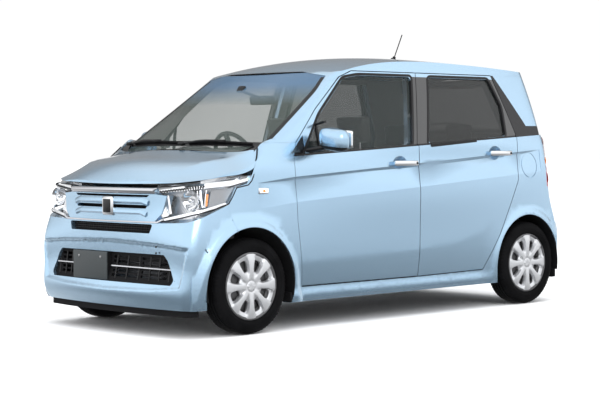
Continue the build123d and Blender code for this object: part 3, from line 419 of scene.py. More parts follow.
def piece(name, verts, faces, mat, body="body", angle=35):
    mesh = bpy.data.meshes.new(name)
    mesh.from_pydata([tuple(v) for v in verts], [], faces)
    mesh.validate()
    mesh.materials.append(mat)
    made = added(name, mesh)
    tidy = bmesh.new()
    tidy.from_mesh(mesh)
    bmesh.ops.recalc_face_normals(tidy, faces=tidy.faces)
    for face in tidy.faces:
        face.smooth = True
    for edge in tidy.edges:
        if len(edge.link_faces) == 2 and edge.calc_face_angle(0) > math.radians(angle):
            edge.smooth = False
    tidy.to_mesh(mesh)
    tidy.free()
    return riding(made, body)


def flipped(verts, side):
    return [Vector((v[0], v[1] * side, v[2])) for v in verts]


def modify(made, kind, **values):
    modifier = made.modifiers.new(kind.lower(), kind)
    for key, value in values.items():
        setattr(modifier, key, value)
    return made


trees = {}


def tree_of(name):
    if name not in trees:
        mesh = nodes[name].data
        trees[name] = BVHTree.FromPolygons([v.co.copy() for v in mesh.vertices],
                                           [tuple(p.vertices) for p in mesh.polygons])
    return trees[name]


def cast(names, origin, direction):
    """The first point and normal on the named nodes from origin along direction."""
    best = None
    for name in names:
        hit, normal, _, distance = tree_of(name).ray_cast(Vector(origin), Vector(direction))
        if hit is not None and (best is None or distance < best[2]):
            best = (hit, normal, distance)
    return None if best is None else best[:2]


def on_side(names, x, z, side=1):
    found = cast(names, (x, side * 2, z), (0, -side, 0))
    return found or (Vector((x, side * HALF, z)), Vector((0, side, 0)))


def on_front(names, y, z):
    return cast(names, (3, y, z), (-1, 0, 0))


def on_rear(names, y, z):
    return cast(names, (-3, y, z), (1, 0, 0))


PIXELS_FOCAL = LENS / SENSOR * VIEW[0]
camera_turn = camera.rotation_euler.to_matrix()


def seen(u, v, names):
    """The point and normal on the named nodes that stand at (u, v) in the camera's view."""
    ray = camera_turn @ Vector(((u - VIEW[0] / 2) / PIXELS_FOCAL,
                                (VIEW[1] / 2 - v) / PIXELS_FOCAL, -1))
    return cast(names, camera.location, ray.normalized())


def smooth_step(value):
    value = min(max(value, 0.0), 1.0)
    return value * value * (3 - 2 * value)


def stepped(points, step, closed=False):
    """The same flat polyline with points every step or less."""
    points = [Vector((a, b, 0)) for a, b in points]
    if closed:
        points = points + points[:1]
    made = []
    for a, b in zip(points, points[1:]):
        count = max(1, math.ceil((b - a).length / step))
        made += [a + (b - a) * (k / count) for k in range(count)]
    if not closed:
        made.append(points[-1])
    return made


def rounded(points, radius, count=5, closed=True):
    """A polyline with its corners turned into arcs."""
    points = [Vector(p) for p in points]
    made = []
    total = len(points)
    for k, corner in enumerate(points):
        if not closed and k in (0, total - 1):
            made.append(corner)
            continue
        before = points[k - 1] - corner
        after = points[(k + 1) % total] - corner
        cut = min(radius, before.length * 0.45, after.length * 0.45)
        a = corner + before.normalized() * cut
        b = corner + after.normalized() * cut
        for j in range(count + 1):
            t = j / count
            made.append(a * (1 - t) ** 2 + corner * 2 * t * (1 - t) + b * t * t)
    return made


def ring(radius, sides, tall=None):
    """Points round a circle, or round an ellipse whose second radius is tall."""
    turns = [2 * math.pi * k / sides for k in range(sides)]
    return [(radius * math.cos(turn), (tall or radius) * math.sin(turn)) for turn in turns]


def sweep(name, points, normals, profile, mat, body="body", closed=False, angle=35):
    """A profile of (across, out) points carried along a line on a surface."""
    points = [Vector(p) for p in points]
    count = len(points)
    verts = []
    for k, point in enumerate(points):
        if closed:
            run = points[(k + 1) % count] - points[k - 1]
        else:
            run = points[min(k + 1, count - 1)] - points[max(k - 1, 0)]
        run.normalize()
        out = Vector(normals[k])
        out = (out - run * out.dot(run)).normalized()
        across = run.cross(out)
        verts += [point + across * a + out * b for a, b in profile]
    wide = len(profile)
    faces = []
    for k in range(count if closed else count - 1):
        n = (k + 1) % count
        for j in range(wide):
            m = (j + 1) % wide
            faces.append((k * wide + j, k * wide + m, n * wide + m, n * wide + j))
    if not closed:
        faces.append(tuple(range(wide)))
        faces.append(tuple(range((count - 1) * wide, count * wide)))
    return piece(name, verts, faces, mat, body, angle)


def bead(width, height, sink=0.002):
    """The profile of a low rounded strip."""
    w = width / 2
    return [(-w, -sink), (-w, height * 0.55), (-w * 0.72, height), (w * 0.72, height),
            (w, height * 0.55), (w, -sink)]


def strip(name, outline, find, profile, mat, body="body", closed=False, step=0.02,
          lift=0.0, lean=(Vector(), 0.0)):
    """A strip along flat points, on the surface that find(a, b) reads. lean: a direction and
    its share in the strip's own outward direction."""
    hits = [hit for hit in (find(p.x, p.y) for p in stepped(outline, step, closed)) if hit]
    way, share = lean
    return sweep(name, [p + n * lift for p, n in hits],
                 [way * share + n * (1 - share) for p, n in hits], profile, mat, body, closed)


def side_strip(name, outline, names, profile, mat, body, side, closed=False, step=0.02, lift=0.0):
    """A strip along side-view points (x, z)."""
    return strip(name, outline, lambda x, z: on_side(names, x, z, side), profile, mat, body,
                 closed, step, lift, (Vector((0, side, 0)), 0.5))


def front_strip(name, outline, names, profile, mat, step=0.02):
    """A strip along front-view points (y, z)."""
    return strip(name, outline, lambda y, z: on_front(names, y, z), profile, mat,
                 step=step, lean=(Vector((1, 0, 0)), 0.3))


def rear_strip(name, outline, names, profile, mat, body="tailgate", closed=False):
    """A strip along rear-view points (y, z)."""
    return strip(name, outline, lambda y, z: on_rear(names, y, z), profile, mat, body, closed)


def lathe(name, profile, centre, mat, body="body", side=1, segments=96, shape=None,
          angle=35, closed=False):
    """A ring about a Y axis from (radius, y outward) points; shape(angle, r, y) moves a point."""
    verts = []
    for k in range(segments):
        turn = 2 * math.pi * k / segments
        for radius, y in profile:
            if shape:
                radius, y = shape(turn, radius, y)
            verts.append((centre[0] + radius * math.sin(turn), centre[1] + side * y,
                          centre[2] + radius * math.cos(turn)))
    wide = len(profile)
    faces = []
    for k in range(segments):
        n = (k + 1) % segments
        for j in range(wide if closed else wide - 1):
            m = (j + 1) % wide
            faces.append((k * wide + j, n * wide + j, n * wide + m, k * wide + m))
    return piece(name, verts, faces, mat, body, angle)


def tube(name, points, radius, mat, body="body", sides=10):
    return sweep(name, points, [(0.02, 0.03, 1)] * len(points), ring(radius, sides), mat,
                 body, angle=60)


def bent_tube(name, points, bend, radius, mat, sides=10, count=6):
    """A tube whose corners are bends of the given radius."""
    tube(name, rounded(points, bend, count, closed=False), radius, mat, sides=sides)


def soft_box(name, centre, size, radius, mat, body="body", turn=(0, 0, 0), bulge=0.0,
             steps=3):
    """A box with rounded edges and slightly crowned faces."""
    made = bmesh.new()
    bmesh.ops.create_cube(made, size=1.0)
    for vert in made.verts:
        vert.co = Vector([vert.co[k] * size[k] for k in range(3)])
    bmesh.ops.bevel(made, geom=list(made.edges), offset=radius, segments=steps, profile=0.5,
                    affect="EDGES")
    if bulge:
        bmesh.ops.subdivide_edges(made, edges=list(made.edges), cuts=3, use_grid_fill=True)
        for vert in made.verts:
            share = [1 - (2 * vert.co[k] / size[k]) ** 2 for k in range(3)]
            for k in range(3):
                others = [max(share[j], 0) for j in range(3) if j != k]
                vert.co[k] *= 1 + bulge * others[0] * others[1]
    rotation = Matrix.Rotation(turn[0], 4, "X") @ Matrix.Rotation(turn[1], 4, "Y")
    made.transform(Matrix.Translation(centre) @ Matrix.Rotation(turn[2], 4, "Z") @ rotation)
    verts = [tuple(v.co) for v in made.verts]
    made.verts.index_update()
    faces = [tuple(v.index for v in f.verts) for f in made.faces]
    made.free()
    return piece(name, verts, faces, mat, body, 50)


def boxes(*rows, body="body"):
    """Soft boxes from a table: name, centre, size, radius, material, slot and, where there is
    one, the pitch and the bulge."""
    for name, centre, size, radius, mat, slot, *more in rows:
        pitch, bulge = (*more, 0.0, 0.0)[:2]
        soft_box(name, centre, size, radius, mat, body, (0, pitch, 0), bulge)


MERGED, DEGENERATE = 0.00005, 0.00002    # corners and edges closer or shorter than this go
SKIN_ANGLE = math.radians(30)            # shallower edges of a skin are shaded smooth


def densify(made, where, longest):
    """Cuts the long edges of the faces that where(centre) picks."""
    for _ in range(7):
        faces = [f for f in made.faces if where(f.calc_center_median())]
        edges = {e for f in faces for e in f.edges if e.calc_length() > longest}
        if not edges:
            break
        bmesh.ops.subdivide_edges(made, edges=list(edges), cuts=1)
        bmesh.ops.triangulate(made, faces=[f for f in made.faces if len(f.verts) > 3])


def reskin(name, mats, body="body", pick=None, dense=None, move=None):
    """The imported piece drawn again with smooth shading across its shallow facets; move(vert)
    may shape it a little."""
    mesh = bpy.data.meshes.new(f"skin_{name}")
    made = bmesh.new()
    made.from_mesh(nodes[name].data)
    bmesh.ops.remove_doubles(made, verts=list(made.verts), dist=MERGED)
    bmesh.ops.dissolve_degenerate(made, dist=DEGENERATE, edges=list(made.edges))
    if dense:
        densify(made, *dense)
    for face in made.faces:
        face.smooth = True
        face.material_index = pick(face) if pick else 0
    for edge in made.edges:
        if len(edge.link_faces) == 2:
            edge.smooth = edge.calc_face_angle(0) < SKIN_ANGLE
    if move:
        made.normal_update()
        for vert, place in [(v, move(v)) for v in made.verts]:
            vert.co = place
    made.to_mesh(mesh)
    made.free()
    for mat in mats:
        mesh.materials.append(mat)
    skin = riding(added(f"skin_{name}", mesh), body)
    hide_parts(name)


def grid_faces(rows, cols, closed=False):
    faces = []
    for i in range(rows - 1):
        for j in range(cols if closed else cols - 1):
            k = (j + 1) % cols
            faces.append((i * cols + j, i * cols + k, (i + 1) * cols + k, (i + 1) * cols + j))
    return faces


def sheet(name, verts, cols, mat, body="body", thick=0.0, offset=-1):
    """A grid of points in rows of cols points, given a thickness."""
    made = piece(name, verts, grid_faces(len(verts) // cols, cols), mat, body)
    return modify(made, "SOLIDIFY", thickness=thick, offset=offset) if thick else made


def spaced(points, count):
    """count points evenly along a flat polyline."""
    points = [Vector((u, v, 0)) for u, v in points]
    runs = [(b - a).length for a, b in zip(points, points[1:])]
    total = sum(runs)
    made = []
    for k in range(count):
        want = total * k / (count - 1)
        for a, b, run in zip(points, points[1:], runs):
            if want <= run + 1e-9:
                made.append(a + (b - a) * (want / run if run else 0))
                break
            want -= run
        else:
            made.append(points[-1])
    return made


def carried(hits):
    """The same hits, where a miss takes the place of the hit before it."""
    last = next(hit for hit in hits if hit)
    for hit in hits:
        last = hit or last
        yield last


def patch(name, top, bottom, names, mat, slot, side, cols, rows, lift, relief=lambda s, t: 0):
    """A sheet between two lines of view pixels, laid on the named nodes; relief(s, t) lifts it."""
    shares = [(j / (cols - 1), i / (rows - 1)) for i in range(rows) for j in range(cols)]
    lines = zip(spaced(top, cols) * rows, spaced(bottom, cols) * rows, shares)
    spots = [a + (b - a) * t for a, b, (s, t) in lines]
    hits = carried([seen(p.x, p.y, names) for p in spots])
    verts = [p + n * (lift + relief(*share)) for (p, n), share in zip(hits, shares)]
    sheet(name, flipped(verts, side), cols, mat)


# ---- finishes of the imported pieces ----
def finish_nodes(mat, *names):
    for name in names:
        mesh = nodes[name].data
        mesh.materials.clear()
        mesh.materials.append(mat)


FRAME_TOP = 1.515            # top of the black parts of the window frames
GLASS_TOP = 1.512


def above_belt(lift=0.004):
    length = math.hypot(BELT[1], 1)
    return BELT[1] / length, 1 / length, -(belt(0) + lift) / length


def frame_mask(*edge):
    """A black part of a window frame, beyond one edge of (two points, side)."""
    return above_belt(), (0, -1, FRAME_TOP), through(*edge)


front_door_paint = black_on_paint("paint_front_door", frame_mask(
    (B_LINE + 0.050, belt(B_LINE)), (B_LINE - 0.026, GLASS_TOP), 1))
rear_door_paint = black_on_paint(
    "paint_rear_door",
    frame_mask((B_LINE - 0.114, belt(B_LINE)), (B_LINE - 0.198, GLASS_TOP), -1),
    frame_mask((REAR_DOOR_END + 0.122, belt(REAR_DOOR_END)), (REAR_DOOR_END + 0.126, 1.330), 1),
    frame_mask((REAR_DOOR_END + 0.126, 1.330), (REAR_DOOR_END + 0.220, GLASS_TOP), 1))
for side_name, side in SIDES:
    finish_nodes(front_door_paint, f"door_front_{side_name}")
    finish_nodes(rear_door_paint, f"door_rear_{side_name}")
    finish_nodes(side_glass, f"glass_front_{side_name}")
    finish_nodes(dark_glass, f"glass_rear_{side_name}")
    finish_nodes(steel, f"knuckle_{side_name}")
    finish_nodes(paint, f"mirror_{side_name}")
finish_nodes(paint, "side_frames", "roof_panel", "front_fenders", "front_bumper", "rear_bumper",
             "hood", "tailgate", "upper_grille", "fuel_flap")
finish_nodes(gloss_black, "quarter_trims", "cowl")
finish_nodes(matt_black, "lower_grille", "front_lip", "wheelhouse_liners", "fuel_tank", "antenna")
finish_nodes(windshield_glass, "windshield")
finish_nodes(dark_glass, "tailgate_glass")
finish_nodes(lens, "headlamps")
finish_nodes(red_lens, "tail_lamps")
finish_nodes(under_coat, "floor_pan", "front_structure", "front_subframe")
finish_nodes(iron, "engine_block")
finish_nodes(steel, "rear_axle_beam", "exhaust")
finish_nodes(dash_plastic, "dashboard", "steering_wheel")
finish_nodes(seat_cloth, "front_seats", "rear_seats")


def faces_in(face):
    """How far a face looks in towards the middle of the car."""
    return -face.normal.y * (1 if face.calc_center_median().y > 0 else -1)


def lining_of_cabin(face):
    """1 on the faces of the body frame that look into the cabin."""
    c = face.calc_center_median()
    return 1 if faces_in(face) > 0.35 and -1.56 < c.x < 0.98 and c.z > 0.30 else 0


def underside(face):
    return 1 if face.normal.z < -0.60 else 0


def back_of_door(face):
    return 1 if faces_in(face) > 0.5 and face.calc_center_median().z > 0.34 else 0


# The flanks: under a line low on the doors the skin turns in, and it comes out again at the sill.
LOW_LINE = [(0.98, 0.388), (0.40, 0.402), (-0.23, 0.420), (-0.60, 0.446), (-0.86, 0.510),
            (-1.05, 0.640)]
SILL_Z, SILL_FOOT_Z = 0.250, 0.185
TURN_IN = 0.011


def low_line(x):
    for (x0, z0), (x1, z1) in zip(LOW_LINE, LOW_LINE[1:]):
        if x >= x1:
            return z0 + (z1 - z0) * min(max((x - x0) / (x1 - x0), 0), 1)
    return LOW_LINE[-1][1]


def turn_in(x, z):
    """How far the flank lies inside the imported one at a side-view point."""
    share = smooth_step((1.02 - x) / 0.14) * smooth_step((x + 1.04) / 0.22)
    line = low_line(x)
    drop = min(max((line - z) / max(line - SILL_Z, 0.05), 0.0), 1.0)
    back = smooth_step((z - SILL_FOOT_Z) / (SILL_Z - SILL_FOOT_Z))
    return TURN_IN * share * drop * back


def flank(vert):
    side = 1 if vert.co.y > 0 else -1
    if vert.normal.y * side < 0.25 or abs(vert.co.y) < 0.64:
        return vert.co
    return vert.co - Vector((0, side * turn_in(vert.co.x, vert.co.z), 0))


FLANK = {"dense": (lambda c: -1.08 < c.x < 1.05 and 0.17 < c.z < 0.60 and abs(c.y) > 0.64, 0.034),
         "move": flank}
reskin("side_frames", [paint, panel_light], pick=lining_of_cabin, **FLANK)
reskin("roof_panel", [paint, lining], pick=underside)
reskin("front_fenders", [paint], **FLANK)
reskin("rear_bumper", [paint])

# The bumper is set back in one broad field round its lower opening, with a ledge all round.
FIELD = [(0.0, 0.545), (0.445, 0.532), (0.692, 0.515), (0.675, 0.430), (0.655, 0.340),
         (0.640, 0.285), (0.415, 0.265), (0.0, 0.256)]


def from_edge(y, z, outline):
    """How far (y, z) lies inside an outline; negative outside it."""
    y = abs(y)
    nearest, inside = 9.0, False
    for (y0, z0), (y1, z1) in zip(outline, outline[1:] + outline[:1]):
        if (z0 > z) != (z1 > z) and y < y0 + (z - z0) * (y1 - y0) / (z1 - z0):
            inside = not inside
        if y0 == y1 == 0.0:
            continue
        run = Vector((y1 - y0, z1 - z0))
        t = min(max(Vector((y - y0, z - z0)).dot(run) / run.length_squared, 0), 1)
        nearest = min(nearest, (Vector((y - y0, z - z0)) - run * t).length)
    return nearest if inside else -nearest


def set_back(vert):
    if vert.co.x < 1.50 or vert.normal.x < -0.3:
        return vert.co
    share = min(max(from_edge(vert.co.y, vert.co.z, FIELD) / 0.016, 0), 1)
    inward = Vector((-1, -max(abs(vert.co.y) - 0.5, 0) * 2.5 * (1 if vert.co.y > 0 else -1), 0))
    return vert.co + inward.normalized() * 0.013 * share * share * (3 - 2 * share)


reskin("front_bumper", [paint], move=set_back,
       dense=(lambda c: c.x > 1.50 and 0.22 < c.z < 0.58, 0.013))


def lamp_line_lift(vert):
    """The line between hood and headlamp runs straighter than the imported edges."""
    x, z = vert.co.x, vert.co.z
    if not 1.15 < x < 1.69:
        return vert.co
    line = 0.848 + (1.7175 - x) * 0.1297
    near = max(0.0, 1 - abs(z - line) / 0.11)
    return vert.co + Vector((0, 0, 0.014 * near * math.sin(math.pi * (1.69 - x) / 0.54)))


reskin("hood", [paint, under_paint], "hood", underside,
       (lambda c: c.x > 1.10 and c.z < 1.02, 0.05), lamp_line_lift)
reskin("tailgate", [paint, panel_light], "tailgate",
       lambda face: 1 if face.normal.x > 0.5 else 0)
for side_name, side in SIDES:
    for place, coat in (("front", front_door_paint), ("rear", rear_door_paint)):
        reskin(f"door_{place}_{side_name}", [coat, door_lining], f"{place}_door_{side_name}",
               back_of_door, **FLANK)


# ---- tyres and wheels ----
TREAD_SEGMENTS = 216
SHOULDER_Y, GROOVE = 0.043, 0.006
half_profile = [
    (0.1785, 0.060), (0.197, 0.060), (0.199, 0.066), (0.203, 0.071), (0.212, 0.0755),
    (0.222, 0.0778), (0.2235, 0.0768), (0.2255, 0.0768), (0.227, 0.0783), (0.240, 0.0778),
    (0.252, 0.0745), (0.260, 0.0695), (0.2665, 0.0655), (0.2705, 0.0625), (0.2735, 0.0575)]
for centre, radius in ((0.036, 0.2765), (0.012, 0.2775)):
    half_profile += [(radius, centre + 0.0055), (radius - GROOVE, centre + 0.004),
                     (radius - GROOVE, centre - 0.004), (radius, centre - 0.0055)]
tyre_profile = half_profile + [(r, -y) for r, y in reversed(half_profile)]


def tread_shape(turn, radius, y):
    """Slanted grooves across the shoulders and fine cuts in the middle ribs."""
    phase = (turn * 72 / (2 * math.pi) + y * 12) % 1
    if radius > 0.262 and abs(y) > SHOULDER_Y and phase < 0.34:
        return radius - 0.005, y
    if radius > 0.270 and abs(y) < 0.030 and phase < 0.17:
        return radius - 0.003, y
    return radius, y


SPOKES = 8
SECTOR = 2 * math.pi / SPOKES
# Columns: radius; spoke face height; spoke half width; valley depth; opening half width.
COVER = [
    (0.000, 0.0715, 0.000, 0.0, 0), (0.018, 0.0712, 0.007, 0.0, 0),
    (0.030, 0.0700, 0.0115, 0.0, 0), (0.033, 0.0675, 0.0127, 0.0, 0),
    (0.036, 0.0690, 0.0138, 0.0, 0), (0.050, 0.0700, 0.0165, 0.001, 0),
    (0.062, 0.0712, 0.0160, 0.005, 0), (0.074, 0.0722, 0.0155, 0.010, 0),
    (0.082, 0.0727, 0.0150, 0.014, 0.0000), (0.088, 0.0730, 0.0150, 0.017, 0.0150),
    (0.100, 0.0731, 0.0152, 0.019, 0.0225), (0.112, 0.0730, 0.0160, 0.020, 0.0265),
    (0.124, 0.0727, 0.0176, 0.020, 0.0290), (0.138, 0.0720, 0.0205, 0.019, 0.0300),
    (0.149, 0.0712, 0.0235, 0.017, 0.0265), (0.156, 0.0706, 0.0258, 0.015, 0.0170),
    (0.160, 0.0700, 0.0275, 0.013, 0.0000), (0.168, 0.0688, 0.0305, 0.009, 0),
    (0.180, 0.0670, 0.0335, 0.006, 0), (0.190, 0.0650, 0.0350, 0.003, 0),
    (0.1945, 0.0635, 0.0355, 0.001, 0), (0.1955, 0.0610, 0.0355, 0.0, 0),
    (0.1945, 0.0585, 0.0355, 0.0, 0),
]


def cover_mesh(name, centre, body, side):
    """The silver cover: eight spokes that widen towards the rim, with an opening between each."""
    columns = []
    for k in range(SPOKES):
        columns += [(k, -1, j) for j in (5, 4, 3, 2, 1, 0)]
        columns += [(k, 1, j) for j in (1, 2, 3, 4)]
    verts = []
    for radius, face, half_width, valley, hole in COVER:
        reach = max(radius, 0.0005)
        sector = SECTOR / 2
        edge = min(half_width / reach, sector * 0.9)
        foot = min(edge + 0.006 / reach, sector * 0.94)
        open_at = max(sector - hole / reach, foot) if hole else (foot + sector) / 2
        steps = ((0.0, 0.0), (edge * 0.6, -0.0004), (edge, 0.0009), (foot, valley),
                 (open_at, valley), (sector, valley * 1.02))
        for k, half, j in columns:
            angle, drop = steps[j]
            turn = k * SECTOR + half * angle
            verts.append((centre[0] + radius * math.sin(turn),
                          centre[1] + side * (face - drop),
                          centre[2] + radius * math.cos(turn)))
    wide = len(columns)
    faces = []
    for i in range(1, len(COVER) - 1):
        for j in range(wide):
            n = (j + 1) % wide
            between = {columns[j][2], columns[n][2]} == {4, 5}
            if not (between and COVER[i][4] and COVER[i + 1][4]):
                faces.append((i * wide + j, i * wide + n, (i + 1) * wide + n, (i + 1) * wide + j))
    hub = len(verts)
    verts.append((centre[0], centre[1] + side * COVER[0][1], centre[2]))
    for j in range(wide):
        faces.append((hub, wide + j, wide + (j + 1) % wide))
    made = piece(name, verts, faces, silver, body, 50)
    tidy = bmesh.new()
    tidy.from_mesh(made.data)
    bmesh.ops.delete(tidy, geom=[v for v in tidy.verts if not v.link_faces], context="VERTS")
    edges = [e for e in tidy.edges if len(e.link_faces) == 1 and
             all(0.05 < math.hypot(v.co.x - centre[0], v.co.z - centre[2]) < 0.17 for v in e.verts)]
    grown = bmesh.ops.extrude_edge_only(tidy, edges=edges)["geom"]
    for vert in (g for g in grown if isinstance(g, bmesh.types.BMVert)):
        vert.co.y -= side * 0.014
    bmesh.ops.recalc_face_normals(tidy, faces=tidy.faces)
    tidy.to_mesh(made.data)
    tidy.free()
    modify(made, "SOLIDIFY", thickness=0.0022, offset=-1)


rim_profile = [(0.172, -0.068), (0.196, -0.068), (0.196, -0.0610), (0.178, -0.0600),
               (0.176, -0.030), (0.160, -0.010), (0.160, 0.030), (0.176, 0.050), (0.178, 0.0590),
               (0.196, 0.0590), (0.196, 0.066), (0.190, 0.068), (0.172, 0.055), (0.150, 0.030),
               (0.150, 0.020), (0.060, 0.036), (0.058, 0.026), (0.140, 0.008), (0.152, -0.014),
               (0.168, -0.032), (0.170, -0.060)]
disc_profile = [(0.0, 0.030), (0.030, 0.030), (0.034, 0.026), (0.062, 0.026), (0.064, -0.008),
                (0.112, -0.008), (0.112, -0.020), (0.0, -0.020)]
nut_profile = [(0.0, 0.015), (0.007, 0.014), (0.0095, 0.011), (0.0105, 0.0), (0.0, -0.002)]
NUT_CIRCLE = 0.050
for place, x in (("front", FRONT_AXLE), ("rear", REAR_AXLE)):
    for side_name, side in SIDES:
        corner = f"{place}_{side_name}"
        hub_body = f"{place}_wheel_{side_name}"
        centre = (x, side * WHEEL_Y, TYRE_R)
        tyre = lathe(f"tyre_tread_{corner}", tyre_profile, centre, rubber, hub_body, side,
                     TREAD_SEGMENTS, tread_shape, 40)
        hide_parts(f"tyre_{place}_{side_name}")
        cover_mesh(f"wheel_cover_{corner}", centre, hub_body, side)
        rim = lathe(f"rim_{corner}", rim_profile, centre, steel, hub_body, side, 64,
                    closed=True)
        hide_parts(f"wheel_{place}_{side_name}")
        lathe(f"brake_disc_{corner}", disc_profile, centre, disc, hub_body, side, 64)
        for k in range(4):
            turn = k * math.pi / 2
            nut = (x + NUT_CIRCLE * math.sin(turn), centre[1] + side * 0.035,
                   TYRE_R + NUT_CIRCLE * math.cos(turn))
            lathe(f"wheel_nut_{corner}_{k}", nut_profile, nut, disc, hub_body, side, 6)


# ---- windows: rubber edges, belt mouldings and sails ----
FRONT_WINDOW = [
    (DOOR_FRONT - 0.095, belt(0.700, 0.008)), (DOOR_FRONT - 0.262, 1.265),
    (DOOR_FRONT - 0.510, 1.492), (DOOR_FRONT - 0.640, GLASS_TOP), (B_LINE - 0.028, GLASS_TOP),
    (B_LINE + 0.048, belt(B_LINE, 0.008)),
]
REAR_WINDOW = [
    (B_LINE - 0.112, belt(B_LINE, 0.008)), (B_LINE - 0.196, GLASS_TOP),
    (REAR_DOOR_END + 0.215, GLASS_TOP), (REAR_DOOR_END + 0.120, 1.330),
    (REAR_DOOR_END + 0.112, belt(REAR_DOOR_END, 0.008)),
]
SEAL_CORNER = 0.030
SEAL = [(-0.0100, -0.010), (-0.0085, 0.0016), (0.0080, 0.0016), (0.0100, -0.004),
        (0.0100, -0.012)]


def grown(points, amount):
    """A closed outline moved out by amount."""
    made = []
    count = len(points)
    area = sum(a[0] * b[1] - b[0] * a[1] for a, b in zip(points, points[1:] + points[:1]))
    turn = 1 if area > 0 else -1
    for k in range(count):
        a, b, c = (Vector(points[(k + j - 1) % count]) for j in range(3))
        n1 = Vector(((b - a).y, -(b - a).x)).normalized() * turn
        n2 = Vector(((c - b).y, -(c - b).x)).normalized() * turn
        middle = (n1 + n2).normalized()
        made.append(tuple(b + middle * (amount / max(middle.dot(n1), 0.3))))
    return made


for side_name, side in SIDES:
    for place, outline, ends in (
            ("front", FRONT_WINDOW, (DOOR_FRONT - 0.012, B_LINE + 0.006)),
            ("rear", REAR_WINDOW, (B_LINE - 0.006, REAR_DOOR_END + 0.008))):
        door, body = [f"door_{place}_{side_name}"], f"{place}_door_{side_name}"
        edge = rounded([(x, z, 0) for x, z in grown(outline, 0.009)], SEAL_CORNER)
        side_strip(f"window_seal_{place}_{side_name}", [(p.x, p.y) for p in edge], door, SEAL,
                   satin_black, body, side, True, 0.012)
        side_strip(f"belt_moulding_{place}_{side_name}", [(x, belt(x, 0.002)) for x in ends], door,
                   bead(0.018, 0.004), gloss_black, body, side)
    door, body = [f"door_front_{side_name}"], f"front_door_{side_name}"
    sail = [(0.018, belt(DOOR_FRONT - 0.014, 0.010), belt(DOOR_FRONT - 0.014, 0.030))]
    sail += [(d, belt(DOOR_FRONT - d, 0.010), z) for d, z in (
        (0.040, 1.084), (0.060, 1.106), (0.080, 1.124), (0.100, 1.141))]
    hits = [on_side(door, DOOR_FRONT - d, low + (high - low) * i / 4, side)
            for i in range(5) for d, low, high in sail]
    sheet(f"sail_{side_name}", [p + n * 0.0015 for p, n in hits], len(sail), gloss_black,
          body=body)
    # The bar of the fixed quarter window, ahead of the sliding glass.
    x = DOOR_FRONT - 0.236
    side_strip(f"quarter_bar_{side_name}", [(x, belt(x, 0.012)), (x + 0.012, 1.228)],
               [f"glass_front_{side_name}"], bead(0.020, 0.010), satin_black, body, side)

# ---- handles: a bright bar and a lock barrel on each door ----
LOCK = [(0.0, 0.0032), (0.006, 0.003), (0.0085, 0.0015), (0.009, -0.001)]
for side_name, side in SIDES:
    for place, x, z in (("front", B_LINE + 0.183, 0.968), ("rear", REAR_DOOR_END + 0.251, 1.022)):
        body = f"{place}_door_{side_name}"
        face = abs(on_side([f"door_{place}_{side_name}"], x - 0.02, z, side)[0].y)
        soft_box(f"handle_{place}_{side_name}", (x - 0.030, side * (face - 0.0075), z),
                 (0.2135, 0.0200, 0.0335), 0.0085, chrome, body)
        lathe(f"handle_lock_{place}_{side_name}", LOCK, (x - 0.122, side * (face + 0.0020), z),
              satin_black, body, side, 20)

# ---- side repeaters on the front fenders ----
for side_name, side in SIDES:
    x, z = 1.074, 0.823
    y = on_side(["front_fenders"], x, z, side)[0].y
    for name, ahead, out, size, radius, mat in (
            ("frame", 0, 0, (0.078, 0.012, 0.036), 0.005, chrome),
            ("lens", 0, 0.003, (0.066, 0.014, 0.025), 0.004, white_lens),
            ("amber", 0.002, 0.0045, (0.022, 0.013, 0.018), 0.004, amber)):
        soft_box(f"repeater_{name}_{side_name}", (x + ahead, y + side * out, z), size, radius, mat)


# ---- front: bar, ribs, badge place, grilles, plate ----
UPPER, LOWER = ["upper_grille"], ["lower_grille"]
FRONT_SKIN = ["upper_grille", "headlamps", "front_bumper"]
verts = []
for k in range(7):
    z, half = 0.849 - 0.038 * k / 6, 0.412 - 0.014 * k / 6
    proud = 0.002 + 0.011 * math.sin(math.pi * min(k / 6 * 1.1, 1))
    for j in range(41):
        y = half * (j / 20 - 1)
        hit = on_front(FRONT_SKIN, y, z) or on_front(FRONT_SKIN, y * 0.97, z)
        verts.append(hit[0] + Vector((proud, 0, 0)))
sheet("grille_bar", verts, 41, brushed, thick=0.004)
for k, (z, half, tall, proud) in enumerate(((0.772, 0.345, 0.030, 0.011),
                                            (0.708, 0.335, 0.026, 0.009))):
    rib = [(-tall / 2 - 0.006, -0.002), (-tall / 2, proud * 0.5), (-tall / 4, proud),
           (tall / 4, proud * 0.9), (tall / 2, proud * 0.4), (tall / 2 + 0.006, -0.002)]
    line = [(half, z - 0.014), (half - 0.05, z), (-half + 0.05, z), (-half, z - 0.014)]
    front_strip(f"grille_rib_{k}", line, UPPER, rib, paint)
front_strip("grille_lower_strip",
            [(0.470, 0.668), (0.430, 0.652), (0.0, 0.650), (-0.430, 0.652), (-0.470, 0.668)],
            FRONT_SKIN, bead(0.011, 0.005), brushed)
badge_x = on_front(UPPER, 0, 0.720)[0].x
boxes(("badge_place", (badge_x + 0.006, 0, 0.738), (0.022, 0.104, 0.110), 0.014, chrome, METAL),
      ("badge_blank", (badge_x + 0.0125, 0, 0.738), (0.014, 0.080, 0.086), 0.010, gloss_black,
       TRIM))

